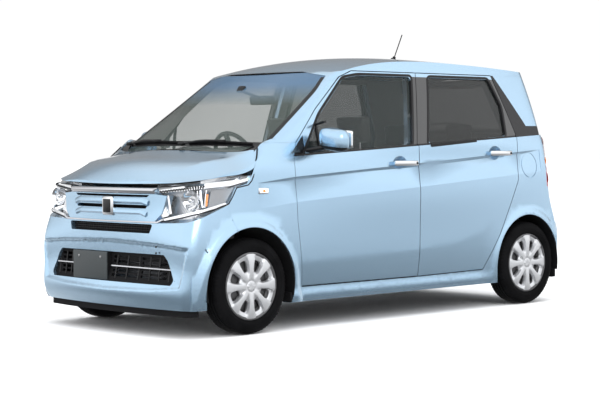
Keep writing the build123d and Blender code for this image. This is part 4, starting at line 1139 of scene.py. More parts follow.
# Dark sheets behind the grille openings: painted shade seen through the slots.
for name, heights in (("grille_net", (0.715, 0.762)), ("grille_net_upper", (0.785, 0.815))):
    across = [0.37 * (k / 10 - 1) for k in range(21)]
    sheet(name, [(on_front(UPPER, y, 0.775)[0].x - 0.050, y, z) for z in heights for y in across],
          21, matt_black)
for k in range(3):
    half, z = 0.362 + 0.006 * k, 0.602 + 0.013 * k
    front_strip(f"slot_bar_{k}", [(-half, z), (half, z)], LOWER, bead(0.0035, 0.005), satin_black,
                step=0.03)
for k in range(33):
    y = -0.360 + k * 0.0225
    front_strip(f"slot_post_{k}", [(y, 0.591), (y, 0.636)], LOWER, bead(0.003, 0.004),
                satin_black, step=0.05)
for k, ends in enumerate(((-0.548, -0.346), (0.006, 0.548))):
    front_strip(f"lower_grille_strip_{k}", [(y, 0.3865) for y in ends], LOWER + ["front_bumper"],
                bead(0.009, 0.013), brushed)
for k, y in enumerate((-0.52, -0.45, -0.39, 0.06, 0.16, 0.26, 0.36, 0.44, 0.52)):
    front_strip(f"lower_grille_post_{k}", [(y, 0.318), (y, 0.452)], LOWER, bead(0.010, 0.004),
                satin_black, step=0.05)
PLATE_Y, PLATE_Z = -0.172, 0.385
plate_x = max(on_front(LOWER, PLATE_Y + d, PLATE_Z)[0].x for d in (-0.12, 0, 0.12))
plate_dark = plain("plate_dark", (0.035, 0.042, 0.045), 0.45, 0.0, (600, 0.0001))
boxes(("plate_blank", (plate_x + 0.0052, PLATE_Y, PLATE_Z), (0.009, 0.329, 0.164), 0.003,
       plate_dark, DARK),
      *[(f"plate_screw_{k}", (plate_x + 0.0100, PLATE_Y + y, PLATE_Z + 0.050),
         (0.006, 0.014, 0.014), 0.0025, disc, METAL) for k, y in enumerate((0.105, -0.105))],
      *[(f"bumper_dot_{k}", seen(156, v, ["front_bumper"])[0], (0.004, 0.012, 0.012), 0.0019,
         satin_black, None) for k, v in enumerate((247, 253.2))])

# ---- seams between the panels: dark strips a little below the surface, painted shade in the gaps ----
DOOR_BOTTOM, DOOR_TOP = 0.250, 1.540
FRONT_DOOR = [
    (DOOR_FRONT - 0.062, DOOR_BOTTOM), (DOOR_FRONT - 0.010, 0.640), (DOOR_FRONT, 1.000),
    (DOOR_FRONT - 0.038, 1.100), (DOOR_FRONT - 0.236, 1.300), (DOOR_FRONT - 0.480, 1.500),
    (DOOR_FRONT - 0.590, DOOR_TOP), (B_LINE - 0.080, DOOR_TOP), (B_LINE, 1.080),
    (B_LINE + 0.008, 0.640), (B_LINE + 0.008, DOOR_BOTTOM),
]
REAR_DOOR = [
    (B_LINE + 0.008, DOOR_BOTTOM), (B_LINE + 0.008, 0.640), (B_LINE, 1.080),
    (B_LINE - 0.080, DOOR_TOP), (REAR_DOOR_END + 0.175, DOOR_TOP), (REAR_DOOR_END, 1.150),
    (REAR_DOOR_END + 0.020, 0.840), (REAR_AXLE + 0.300, 0.480), (REAR_AXLE + 0.460, 0.258),
]
HOOD_SEAM = [(FRONT_AXLE - 0.023, 0.921), (FRONT_AXLE - 0.068, 1.010), (FRONT_AXLE - 0.120, 1.078)]
BUMPER_SEAM = [(FRONT_AXLE + 0.165, 0.748), (FRONT_AXLE + 0.112, 0.590)]
SEAM = [(-0.003, -0.004), (-0.003, 0.0), (0.003, 0.0), (0.003, -0.004)]


def seam(name, outline, near, names, side, depth=0.003, closed=False):
    """A dark strip of painted shade behind the gap that follows side-view points; the surface is
    read along a line near it, where there is a panel."""
    inner = stepped(near, 0.03, closed)
    points = []
    for p in stepped(outline, 0.03, closed):
        close = min(inner, key=lambda q: (q - p).length)
        y = on_side(names, close.x, close.y, side)[0].y
        points.append((p.x, y - side * (depth + turn_in(p.x, p.y)), p.y))
    sweep(name, points, [(0, side, 0)] * len(points), SEAM, matt_black, closed=closed)


for side_name, side in SIDES:
    for place, outline in (("front", FRONT_DOOR), ("rear", REAR_DOOR)):
        seam(f"door_seam_{place}_{side_name}", outline, grown(outline, -0.012),
             [f"door_{place}_{side_name}"], side, closed=True)
    for place, line, depth in (("hood", HOOD_SEAM, 0.003), ("bumper", BUMPER_SEAM, 0.002)):
        seam(f"{place}_seam_{side_name}", line, [(x - 0.015, z) for x, z in line],
             ["front_fenders"], side, depth)


# ---- headlamps ----
def outer_lamp(face):
    outward = Vector((1.0, 0.55 if face.calc_center_median().y > 0 else -0.55, 0.25)).normalized()
    return face.normal.dot(outward) > 0.35


def lamp_skin(name, mat, offset):
    """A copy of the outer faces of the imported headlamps, moved along their normals."""
    shape = bmesh.new()
    shape.from_mesh(nodes["headlamps"].data)
    bmesh.ops.remove_doubles(shape, verts=shape.verts, dist=MERGED)
    bmesh.ops.delete(shape, geom=[f for f in shape.faces if not outer_lamp(f)], context="FACES")
    bmesh.ops.delete(shape, geom=[v for v in shape.verts if not v.link_faces], context="VERTS")
    shape.normal_update()
    for vert, normal in [(v, v.normal.copy()) for v in shape.verts]:
        vert.co = lamp_line_lift(vert) + normal * offset
    shape.verts.index_update()
    verts = [tuple(v.co) for v in shape.verts]
    faces = [tuple(v.index for v in f.verts) for f in shape.faces]
    shape.free()
    return piece(name, verts, faces, mat)


lamp_lens = lamp_skin("headlamp_lens", lens, 0.0)
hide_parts("headlamps")
lamp_case = ribbed("lamp_case", (0.66, 0.67, 0.69), 0.26, 0.95, (42.0, "DIAGONAL"), 0.35, 0.002)
lamp_skin("headlamp_case", lamp_case, -0.070)
lamp_chrome = plain("lamp_chrome", (0.90, 0.91, 0.93), 0.06, 1.0, (25, 0.002, 2.0, 0.12))
lamp_ribs = ribbed("lamp_ribs", (0.50, 0.51, 0.53), 0.25, 1.0, (95.0, "Z"), 0.6, 0.002)
LAMP_SKIN = ["headlamps", "upper_grille", "front_bumper", "front_fenders"]
DISH = [(0.000, -0.052), (0.014, -0.050), (0.030, -0.043), (0.044, -0.030), (0.054, -0.014),
        (0.060, 0.0), (0.0615, 0.001), (0.0615, -0.002), (0.055, -0.016), (0.044, -0.034)]
DISH_SEGMENTS = 48
# The dark joint round the whole lamp, in view pixels.
JOINT = [(156.7, 187.4), (184, 183.0), (212.2, 179.6), (236, 176.5), (254.2, 174.2),
         (252.0, 180.5), (248.5, 184.9), (236.7, 187.8), (233.0, 196.0), (228.9, 203.9),
         (216.0, 209.2), (203.3, 212.8), (182.0, 218.0), (161.1, 222.0)]


def fill_lamp(side_name, side):
    """Everything between the lens and the case of one headlamp, and the joint round it."""
    def lamp_patch(part, top, bottom, mat, cols, rows, lift, *relief, slot=METAL):
        patch(f"lamp_{part}_{side_name}", top, bottom, LAMP_SKIN, mat, slot, side, cols, rows,
              lift, *relief)

    lamp_patch("strip", [(157.5, 187.6), (178, 184.4), (205, 181.2), (252.5, 175.4)],
               [(156.8, 193.2), (178, 191.4), (205, 188.6), (232, 185.6), (249.5, 180.5)],
               lamp_chrome, 48, 4, -0.006, lambda s, t: -0.006 * (1 - (2 * t - 1) ** 2))
    for k in range(17):
        u = 160.0 + 2.7 * k
        low = seen(u, 191.9 - 0.115 * (u - 157), LAMP_SKIN)[0]
        soft_box(f"lamp_tooth_{side_name}_{k}", (low.x - 0.004, side * low.y, low.z),
                 (0.010, 0.0075, 0.010), 0.0015, satin_black, turn=(0, 0, side * 0.3))
    lamp_patch("ribs", [(212.5, 190.0), (222, 188.8), (235.0, 187.6)],
               [(209.0, 209.0), (217, 206.4), (226.5, 202.6)], lamp_ribs, 14, 8, -0.012)
    lamp_patch("lower_edge", [(162.0, 219.0), (180, 214.6), (205, 209.2), (226, 202.6)],
               [(161.5, 221.6), (180, 217.4), (205, 212.2), (228, 205.0)], lamp_chrome, 30, 3,
               -0.005)
    centre = seen(186, 201, LAMP_SKIN)[0]
    turned = []
    for k in range(DISH_SEGMENTS):
        angle = 2 * math.pi * k / DISH_SEGMENTS
        wide = 1.25 if math.sin(angle) > 0 else 1.05
        turned += [(centre.x - 0.030 + depth, centre.y + radius * math.cos(angle) * wide,
                    centre.z + radius * math.sin(angle) * 0.92) for radius, depth in DISH]
    wide = len(DISH)
    faces = [(k * wide + j, n * wide + j, n * wide + j + 1, k * wide + j + 1)
             for k, n in ((k, (k + 1) % DISH_SEGMENTS) for k in range(DISH_SEGMENTS))
             for j in range(wide - 1)]
    piece(f"lamp_bowl_{side_name}", flipped(turned, side), faces, lamp_chrome)
    soft_box(f"lamp_bulb_{side_name}", (centre.x - 0.040, side * centre.y, centre.z),
             (0.036, 0.026, 0.026), 0.011, chrome, steps=4)
    for k, (top, foot, radius, mat) in enumerate((
            ((199.2, 190.5), (201.6, 207.6), 0.0050, led),
            ((196.2, 191.0), (197.0, 208.6), 0.0030, lamp_chrome),
            ((205.2, 190.2), (203.6, 208.0), 0.0030, lamp_chrome))):
        high, low = (seen(*spot, LAMP_SKIN)[0] for spot in (top, foot))
        points = [high.lerp(low, j / 6) - Vector((0.012, 0.004, 0))
                  + Vector((0.003, 0, 0)) * math.sin(math.pi * j / 6) for j in range(7)]
        tube(f"lamp_tube_{side_name}_{k}", flipped(points, side), radius, mat)
    lamp_patch("amber", [(206.2, 194.5), (209.6, 194.2)], [(205.8, 206.5), (208.4, 206.0)], amber,
               5, 8, -0.010, lambda s, t: 0.003 * math.sin(math.pi * s), slot="lamp")
    lamp_patch("corner", [(160.5, 196.5), (167.5, 195.4)], [(161.0, 218.0), (170.5, 213.5)],
               lamp_chrome, 8, 8, -0.012, lambda s, t: 0.006 * math.sin(3 * math.pi * s))
    front_strip(f"lamp_line_{side_name}", [(side * 0.412, 0.8520), (side * 0.55, 0.858)],
                FRONT_SKIN, bead(0.006, 0.002), satin_black)
    hits = [seen(p.x, p.y, LAMP_SKIN) for p in stepped(JOINT, 3.0)]
    hits = [hit for hit in hits if hit]
    sweep(f"lamp_joint_{side_name}", flipped([p for p, n in hits], side),
          flipped([n for p, n in hits], side), bead(0.007, 0.0015), satin_black)


for side_name, side in SIDES:
    fill_lamp(side_name, side)


# ---- mirrors ----
MIRROR = Vector((0.622, 0.848, 1.117))
SHELL_ROWS, SHELL_COLS, HALF_WIDE = 18, 36, 0.102


def mirror_shell(side):
    """A rounded shell, flatter behind, in rows of points from bottom to top."""
    verts = []
    for i in range(SHELL_ROWS + 1):
        t = i / SHELL_ROWS
        swell = (1 - abs(2 * t - 1) ** 3.2) ** (1 / 2.6)
        for j in range(SHELL_COLS):
            turn = 2 * math.pi * j / SHELL_COLS
            c, s = math.cos(turn), math.sin(turn)
            x = math.copysign(abs(c) ** 0.74, c) * (0.062 if c > 0 else 0.044) * swell
            y = math.copysign(abs(s) ** 0.56, s) * HALF_WIDE * (0.35 + 0.65 * swell)
            x += 0.006 * abs(y / HALF_WIDE) ** 2
            verts.append((MIRROR.x + x, side * (MIRROR.y + y),
                          MIRROR.z - 0.070 + 0.140 * t - 0.010 * (y / HALF_WIDE)))
    end = SHELL_ROWS * SHELL_COLS
    faces = grid_faces(SHELL_ROWS + 1, SHELL_COLS, True)
    faces += [tuple(range(SHELL_COLS)), tuple(range(end, end + SHELL_COLS))]
    return verts, faces, int(SHELL_ROWS * 0.26) * SHELL_COLS


mirror_glass = plain("mirror_glass", (0.85, 0.87, 0.88), 0.02, 1.0, (40, 0.00002))
for side_name, side in SIDES:
    body = f"front_door_{side_name}"
    verts, faces, split = mirror_shell(side)
    shell = piece(f"mirror_shell_{side_name}", verts, [f for f in faces if min(f) >= split], paint,
                  body, 60)
    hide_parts(f"mirror_{side_name}")
    base = piece(f"mirror_base_{side_name}", verts, [f for f in faces if min(f) < split],
                 gloss_black, body, 60)
    for made in (shell, base):
        modify(made, "SUBSURF", levels=1, render_levels=1)
    arm = flipped([(0.700, 0.665, 1.052), (0.690, 0.692, 1.056), (0.668, 0.730, 1.062),
                   (0.645, 0.775, 1.070)], side)
    sweep(f"mirror_arm_{side_name}", arm, [(0, 0, 1)] * 4, ring(0.030, 16, 0.016), gloss_black,
          body, angle=60)
    verts = []
    for i in range(7):
        for j in range(13):
            s, t = 2 * j / 12 - 1, 2 * i / 6 - 1
            verts.append((0.5765 - 0.012 * s * s, side * (MIRROR.y + 0.088 * s),
                          MIRROR.z + 0.054 * t * (1 - 0.10 * abs(s) ** 4)))
    sheet(f"mirror_glass_{side_name}", verts, 13, mirror_glass, body, 0.004, 0)

# ---- windshield: black edge, wipers and cowl ----
SCREEN = ["windshield"]
for side_name, side in SIDES:
    edge = [(side * y, z) for y, z in (
        (0.630, 1.090), (0.601, 1.235), (0.568, 1.400), (0.556, 1.440), (0.532, 1.498))]
    strip(f"screen_edge_{side_name}", edge, lambda y, z: on_front(SCREEN, y, z),
          bead(0.030, 0.0016, 0.001), satin_black, step=0.03)
across = [-0.62 + 1.24 * j / 48 for j in range(49)]
spots = [(y, z - arch * y * y)
         for z, arch in ((1.1125, 0.03), (1.098, 0.03), (1.084, 0.02)) for y in across]
hits = carried([on_front(SCREEN, y * (1 - (z - 1.08) * 0.27), z) for y, z in spots])
sheet("screen_base", [p + n * 0.0012 for p, n in hits], 49, satin_black)


def wiper(name, ends, pivot, find, hold_at=13, body="body"):
    """A wiper parked low on the glass: a blade with its rail, and a bent arm from its pivot,
    all given as (y, z)."""
    (y0, z0), (y1, z1) = ends
    line = []
    for k in range(25):
        t = k / 24
        hit = find(y0 + (y1 - y0) * t, z0 + (z1 - z0) * t + 0.008 * math.sin(math.pi * t))
        if hit:
            line.append(hit)
    sweep(f"{name}_blade", [p + n * 0.007 for p, n in line], [n for p, n in line],
          [(-0.003, -0.006), (-0.007, 0.004), (-0.002, 0.011), (0.004, 0.009), (0.007, 0.002),
           (0.003, -0.006)], matt_black, body, angle=60)
    hold, out = line[hold_at]
    base = find(*pivot)
    start = base[0] + base[1] * 0.020 if base else Vector((hold.x, *pivot))
    end = hold + out * 0.020
    points = rounded([start, (start + end) / 2 + out * 0.014, end], 0.12, 6, closed=False)
    sweep(f"{name}_arm", points, [out] * len(points),
          [(-0.007, -0.003), (-0.005, 0.004), (0.005, 0.004), (0.007, -0.003)], satin_black,
          body, angle=60)
    soft_box(f"{name}_clip", hold + out * 0.018, (0.020, 0.060, 0.016), 0.004, satin_black,
             body)
    soft_box(f"{name}_pivot", start, (0.036, 0.040, 0.022), 0.008, satin_black, body)


for name, ends, pivot in (("right", ((-0.530, 1.092), (0.060, 1.094)), (-0.575, 1.080)),
                          ("left", ((0.110, 1.094), (0.565, 1.086)), (0.075, 1.080))):
    wiper(f"wiper_{name}", ends, pivot, lambda y, z: on_front(SCREEN, y, z))

# ---- inside the windshield: mirror ----
top = on_front(SCREEN, 0.0, 1.430)[0]
boxes(("inner_mirror", (0.425, 0.0, 1.368), (0.026, 0.225, 0.056), 0.011, satin_black, CABIN,
       0.15, 0.05),
      ("inner_mirror_glass", (0.4105, 0.0, 1.367), (0.003, 0.210, 0.044), 0.001, mirror_glass,
       None, 0.15))
tube("inner_mirror_stalk", [top + Vector((-0.008, 0, 0)), top + Vector((-0.035, 0, -0.012)),
                            (0.442, 0, 1.380)], 0.009, satin_black)
boxes(("inner_mirror_foot", top + Vector((-0.011, 0, 0.004)), (0.020, 0.060, 0.044), 0.006,
       satin_black, CABIN, -0.62))


# ---- dashboard and steering wheel ----
DRIVER_Y = -0.330
DIAL_Z = 0.985
PAD_ROWS, PAD_COLS = 15, 61
# The crowned upper pad of the dashboard, raised over the dials in front of the driver.
verts = []
for i in range(PAD_ROWS):
    s = i / (PAD_ROWS - 1)
    for j in range(PAD_COLS):
        y = 0.612 - 1.224 * j / (PAD_COLS - 1)
        brow = math.exp(-((y + 0.33) / 0.17) ** 4) * math.exp(-((s - 0.80) / 0.22) ** 2)
        z = 1.046 + 0.014 * math.sin(math.pi * min(s * 1.3, 1)) + 0.040 * brow
        z -= 0.012 * (y / 0.6) ** 2
        z -= 0.060 * max(s - 0.86, 0) / 0.14 * (1 - brow * 0.5)
        verts.append((0.985 - 0.345 * s, y, z))
pad = piece("dash_pad", verts, grid_faces(PAD_ROWS, PAD_COLS), dash_plastic, angle=70)
modify(pad, "SOLIDIFY", thickness=0.022, offset=-1)
modify(pad, "BEVEL", width=0.004, segments=2)


def circle(x, y, z, radius, sides):
    """Points round a circle that looks backwards, from its top."""
    return [(x, y + a, z + b) for b, a in ring(radius, sides)]


boxes(("dash_band", (0.645, 0.150, 0.905), (0.026, 0.880, 0.085), 0.010, panel_light, CABIN),
      ("dial_hood", (0.668, DRIVER_Y, DIAL_Z), (0.060, 0.360, 0.120), 0.020, dash_plastic, CABIN),
      ("dial_face", (0.6365, DRIVER_Y, DIAL_Z), (0.008, 0.310, 0.094), 0.0035, dials, CABIN))
dial_light = plain("dial_marks", (0.75, 0.80, 0.85), 0.4, 0.0, (500, 0.0001))
for name, y, radius in (("speed", DRIVER_Y, 0.040), ("revs", DRIVER_Y + 0.095, 0.026),
                        ("fuel", DRIVER_Y - 0.095, 0.026)):
    sweep(f"dial_ring_{name}", circle(0.6315, y, DIAL_Z, radius, 48), [(-1, 0, 0)] * 48,
          [(-0.0016, -0.001), (-0.0010, 0.0020), (0.0010, 0.0020), (0.0016, -0.001)], chrome,
          closed=True)
    for k in range(13):
        turn = math.radians(-130 + 260 * k / 12)
        spot = (0.6318, y + radius * 0.84 * math.sin(turn), DIAL_Z + radius * 0.84 * math.cos(turn))
        soft_box(f"dial_mark_{name}_{k}", spot, (0.0012, 0.0016, 0.0060), 0.0004, dial_light,
                 turn=(-turn, 0, 0))
    soft_box(f"dial_needle_{name}", (0.6308, y - radius * 0.25, DIAL_Z - radius * 0.25),
             (0.0014, 0.0024, radius * 0.80), 0.0005, amber,
             turn=(math.radians(-135), 0, 0))
boxes(("centre_frame", (0.640, 0, 0.935), (0.034, 0.240, 0.170), 0.010, gloss_black, CABIN),
      ("centre_screen", (0.6225, 0, 0.962), (0.006, 0.205, 0.100), 0.0025, dials, CABIN))
for k in range(3):
    sweep(f"heater_knob_{k}", circle(0.622, -0.062 + 0.062 * k, 0.880, 0.017, 24),
          [(-1, 0, 0)] * 24, [(-0.002, -0.002), (-0.0015, 0.012), (0.0015, 0.012),
                              (0.002, -0.002)], chrome, closed=True)
for name, y, z in (("left", 0.545, 0.955), ("mid_left", 0.155, 0.960), ("mid_right", -0.155, 0.975),
                   ("right", -0.560, 0.955)):
    boxes((f"vent_{name}", (0.650, y, z), (0.030, 0.098, 0.062), 0.012, satin_black, CABIN),
          *[(f"vent_slat_{name}_{k}", (0.6335, y, z - 0.0195 + 0.013 * k), (0.012, 0.080, 0.0035),
             0.0012, dash_plastic, CABIN, 0.3) for k in range(4)])
boxes(("glove_box", (0.6520, 0.345, 0.800), (0.020, 0.400, 0.160), 0.009, dash_plastic, CABIN,
       -0.04, 0.05),
      ("glove_latch", (0.6420, 0.345, 0.855), (0.012, 0.090, 0.022), 0.005, satin_black, CABIN),
      ("knee_panel", (0.6550, DRIVER_Y, 0.795), (0.020, 0.420, 0.130), 0.009, dash_plastic, CABIN,
       -0.04, 0.05),
      ("shift_stack", (0.668, 0.0, 0.770), (0.090, 0.200, 0.200), 0.028, dash_plastic, CABIN,
       0.12, 0.08),
      ("shift_gate", (0.619, -0.030, 0.800), (0.010, 0.056, 0.130), 0.004, gloss_black, CABIN,
       0.12))
tube("shift_lever", [(0.630, -0.030, 0.815), (0.585, -0.030, 0.845)], 0.006, chrome)
soft_box("shift_knob", (0.570, -0.030, 0.855), (0.044, 0.034, 0.046), 0.015, dash_plastic,
         turn=(0, -0.7, 0), steps=5)
for name, y, wide in (("brake", -0.315, 0.110), ("throttle", -0.435, 0.052)):
    boxes((f"pedal_{name}", (0.770, y, 0.335), (0.016, wide, 0.060), 0.006, matt_black, CABIN,
           -0.5))
    tube(f"pedal_arm_{name}", [(0.778, y, 0.345), (0.835, y, 0.480), (0.850, y, 0.640)], 0.007,
         steel)
for side_name, side in SIDES:
    boxes((f"floor_mat_{side_name}", (0.600, side * 0.330, 0.2335), (0.420, 0.420, 0.010), 0.004,
           carpet, CABIN),
          (f"rear_mat_{side_name}", (-0.260, side * 0.330, 0.2335), (0.210, 0.420, 0.010), 0.004,
           carpet, CABIN))

# The wheel's centre pad and the stalks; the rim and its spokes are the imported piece.
axis = Vector((-0.9, 0, 0.436)).normalized()
hub = Vector((0.3575, DRIVER_Y, 0.996))
column = (0, math.asin(0.436), 0)
soft_box("wheel_pad", hub + axis * 0.006, (0.046, 0.145, 0.110), 0.020, dash_plastic,
         "steering_wheel", column, 0.10, 5)
soft_box("wheel_badge_place", hub + axis * 0.032, (0.006, 0.040, 0.034), 0.0028, chrome,
         "steering_wheel", column)
start = hub - axis * 0.110
for side_name, side in SIDES:
    tube(f"column_stalk_{side_name}", [start, start + Vector((-0.010, side * 0.090, 0.012)),
                                       start + Vector((-0.020, side * 0.165, 0.020))], 0.0075,
         satin_black)
soft_box("column_shroud", hub - axis * 0.170, (0.170, 0.105, 0.095), 0.022, dash_plastic,
         turn=column, bulge=0.05)


# ---- door linings ----
def in_door(name, x, z, side):
    """How far out the inner face of a door stands."""
    found = cast([name], (x, 0, z), (0, side, 0))
    return found[0].y if found else side * 0.66


SPEAKER = [(0.0, -0.004), (0.030, -0.006), (0.058, -0.004), (0.066, 0.000), (0.068, 0.006)]
for side_name, side in SIDES:
    for place, x, length, speaker in (("front", 0.200, 0.460, 0.62), ("rear", -0.620, 0.400, 0.40)):
        door, body = f"door_{place}_{side_name}", f"{place}_door_{side_name}"
        wall = in_door(door, x, 0.700, side)
        low = in_door(door, x + length * 0.15, 0.430, side)
        for name, along, inset, z, size, radius, mat, slot, bulge in (
                ("armrest", 0.0, 0.022, 0.735, (length, 0.056, 0.062), 0.020, panel_light, CABIN,
                 0.06),
                ("switches", 0.30, 0.026, 0.768, (0.110, 0.036, 0.010), 0.004, gloss_black, CABIN,
                 0),
                ("inner_handle", 0.38, 0.010, 0.868, (0.092, 0.020, 0.024), 0.008, chrome, METAL,
                 0),
                ("door_pocket", 0.05, 0.016, 0.430, (length * 0.90, 0.042, 0.120), 0.016,
                 dash_plastic, CABIN, 0.05)):
            y = (low if name == "door_pocket" else wall) - side * inset
            soft_box(f"{name}_{place}_{side_name}", (x + length * along, y, z), size, radius, mat,
                     body, bulge=bulge)
        spot = x + length * speaker
        lathe(f"speaker_{place}_{side_name}", SPEAKER,
              (spot, in_door(door, spot, 0.560, side), 0.560), satin_black, body, side, 48)


# ---- ceiling: visors, grips, lamp ----
def ceiling(x, y):
    found = cast(["roof_panel"], (x, y, 1.30), (0, 0, 1))
    return found[0].z if found else 1.52


for side_name, side in SIDES:
    boxes((f"sun_visor_{side_name}", (0.300, side * 0.290, ceiling(0.300, side * 0.29) - 0.018),
           (0.150, 0.360, 0.018), 0.007, lining, CABIN, 0.10))
    for k, x in enumerate((0.020, -0.620)):
        y = side * 0.520
        z = ceiling(x, y) - 0.030
        bent_tube(f"ceiling_grip_{side_name}_{k}",
                  [(x + 0.085, y, z + 0.030), (x + 0.075, y, z), (x - 0.075, y, z),
                   (x - 0.085, y, z + 0.030)], 0.02, 0.008, panel_light, count=5)
boxes(("ceiling_lamp", (0.050, 0, ceiling(0.050, 0) - 0.010), (0.100, 0.140, 0.022), 0.008,
       white_lens, CABIN))


# ---- seats: sewn covers over foam ----
def cushion_form(size, crown, pinch, cut=14, soft=0.16):
    """A closed pad centred on the origin: crowned faces, and sides drawn in between the corners."""
    made = bmesh.new()
    bmesh.ops.create_cube(made, size=2.0)
    bmesh.ops.subdivide_edges(made, edges=list(made.edges), cuts=cut, use_grid_fill=True)
    for vert in made.verts:
        x, y, z = vert.co
        length = (abs(x) ** 6 + abs(y) ** 6 + abs(z) ** 6) ** (1 / 6)
        round_off = (1 - soft) + soft / length
        edge = 1 - pinch * ((1 - x * x) * (abs(y) > 0.98) + (1 - y * y) * (abs(x) > 0.98))
        fx = x * size[0] / 2 * round_off * edge
        fy = y * size[1] / 2 * round_off * edge
        fz = z * size[2] / 2 * round_off * (1 + crown * (1 - x * x) * (1 - y * y))
        vert.co = Vector((fx, fy, fz))
    return made


def settle(made):
    """Applies the piece's modifiers to its mesh."""
    view = bpy.context.evaluated_depsgraph_get()
    view.update()
    baked = bpy.data.meshes.new_from_object(made.evaluated_get(view))
    made.modifiers.clear()
    made.data = baked


def blow_up(made, cap=0.014):
    """A short cloth simulation under pressure that moves no point by more than cap."""
    modify(made, "REMESH", mode="VOXEL", voxel_size=0.0115)
    settle(made)
    start = [v.co.copy() for v in made.data.vertices]
    cloth = made.modifiers.new("cloth", "CLOTH")
    cloth.settings.use_pressure = True
    cloth.settings.uniform_pressure_force = 4.0
    cloth.settings.quality = 4
    cloth.settings.effector_weights.gravity = 0.0
    for number in range(1, 15):
        scene.frame_set(number)
    settle(made)
    for vert, from_place in zip(made.data.vertices, start):
        move = vert.co - from_place
        if move.length > cap:
            vert.co = from_place + move.normalized() * cap
    scene.frame_set(1)


def upholster(made, body="body"):
    modify(made, "SUBSURF", levels=1, render_levels=1)
    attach(made, body)
    return made


def sewn(name, size, place, turn, mats, crown, pinch, bolster, seams, fill=0.8):
    """A seat pad: a closed form blown up by a short cloth simulation, then given bolsters and
    sewn channels, and set in its place. mats: sides and middle panel."""
    form = cushion_form(size, crown, pinch)
    mesh = bpy.data.meshes.new(name)
    form.to_mesh(mesh)
    form.free()
    made = added(name, mesh)
    blow_up(made)
    half = Vector(size) / 2
    for vert in made.data.vertices:
        x, y, z = vert.co.x / half.x, vert.co.y / half.y, vert.co.z / half.z
        up = max(z, 0.0)
        side = smooth_step((abs(y) - 0.55) / 0.25)
        vert.co.z += up * bolster * side * (1 - max(abs(y) - 0.9, 0) * 4)
        for axis, at, depth in seams:
            off = (x - at) * half.x if axis == "x" else (abs(y) - at) * half.y
            if axis == "y" or abs(y) < 0.62:
                vert.co.z -= up * depth * math.exp(-(off / 0.0055) ** 2)
    mesh = made.data
    mesh.materials.clear()
    for mat in mats:
        mesh.materials.append(mat)
    for face in mesh.polygons:
        c = face.center
        middle = abs(c.y / half.y) < 0.60 and face.normal.z > 0.5 and abs(c.x / half.x) < 0.88
        face.material_index = 1 if middle and len(mats) > 1 else 0
        face.use_smooth = True
    mesh.transform(Matrix.Translation(place) @ Matrix.Rotation(math.radians(turn), 4, "Y"))
    return upholster(made)


def channels(*at, side=0.006):
    """Sewn lines across at shares of the length, given with depths, and one at each bolster."""
    return [("x", where, depth) for where, depth in at] + [("y", 0.60, side)]


cloths = [seat_cloth, seat_centre]
HEAD = [("y", 0.75, 0.003)]
FRONT_Y, REAR_Y = 0.330, 0.290
BENCH = -0.6325
pads = [sewn(f"{name}_left", *row) for name, *row in (
    ("front_cushion", (0.450, 0.480, 0.125), (DOOR_FRONT - 0.540, FRONT_Y, 0.420), -5.5, cloths,
     0.10, 0.035, 0.018, channels((-0.30, 0.005), (0.25, 0.005))),
    ("front_back", (0.610, 0.480, 0.085), (DOOR_FRONT - 0.862, FRONT_Y, 0.742), -77.5, cloths,
     0.10, 0.045, 0.024, channels((-0.45, 0.005), (0.05, 0.005), (0.55, 0.004))),
    ("front_head", (0.165, 0.250, 0.075), (DOOR_FRONT - 0.886, FRONT_Y, 1.180), -84, cloths[:1],
     0.12, 0.05, 0.0, HEAD, 0.9),
    ("rear_cushion", (0.430, 0.540, 0.105), (BENCH - 0.115, REAR_Y, 0.430), -4, cloths,
     0.08, 0.03, 0.008, channels((0.30, 0.005), (-0.30, 0.005), side=0.005)),
    ("rear_back", (0.570, 0.540, 0.075), (BENCH - 0.450, REAR_Y, 0.752), -76.6, cloths,
     0.08, 0.035, 0.010, channels((-0.40, 0.005), (0.10, 0.005), (0.60, 0.004), side=0.005)),
    ("rear_head", (0.140, 0.212, 0.065), (BENCH - 0.504, REAR_Y, 1.146), -85, cloths[:1],
     0.12, 0.05, 0.0, HEAD, 0.9))]
# The same pads again on the other side of the car.
for pad in pads:
    mesh = pad.data.copy()
    mesh.transform(Matrix.Translation((0, -2 * (FRONT_Y if "front" in pad.name else REAR_Y), 0)))
    upholster(added(pad.name.replace("left", "right"), mesh))
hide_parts("front_seats")
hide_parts("rear_seats")

# Seat frames, rails, stalks and side covers.
for side_name, side in SIDES:
    y, rear_y = side * FRONT_Y, side * REAR_Y
    for k, dy in enumerate((-0.060, 0.060)):
        tube(f"front_stalk_{side_name}_{k}", [(-0.060, y + dy, 1.035), (-0.062, y + dy, 1.130)],
             0.006, chrome)
        tube(f"rear_stalk_{side_name}_{k}",
             [(BENCH - 0.494, rear_y + dy, 1.015), (BENCH - 0.500, rear_y + dy, 1.095)], 0.006,
             chrome)
    boxes(*[(f"seat_rail_{side_name}_{k}", (DOOR_FRONT - 0.590, y + dy, 0.2455),
             (0.440, 0.040, 0.034), 0.006, steel, METAL) for k, dy in enumerate((-0.185, 0.185))],
          (f"seat_base_{side_name}", (DOOR_FRONT - 0.600, y, 0.310), (0.400, 0.400, 0.100), 0.020,
           matt_black, CABIN),
          (f"seat_cover_out_{side_name}", (DOOR_FRONT - 0.640, y + side * 0.222, 0.352),
           (0.360, 0.030, 0.090), 0.014, dash_plastic, CABIN, 0.0, 0.2),
          (f"seat_back_shell_{side_name}", (DOOR_FRONT - 0.905, y, 0.735), (0.030, 0.410, 0.560),
           0.012, dash_plastic, CABIN, -0.16, 0.12),
          (f"rear_base_{side_name}", (BENCH - 0.230, rear_y, 0.362), (0.400, 0.460, 0.034), 0.012,
           carpet, CABIN),
          (f"rear_back_board_{side_name}", (BENCH - 0.505, rear_y, 0.735), (0.016, 0.530, 0.560),
           0.006, carpet, CABIN, -0.23))


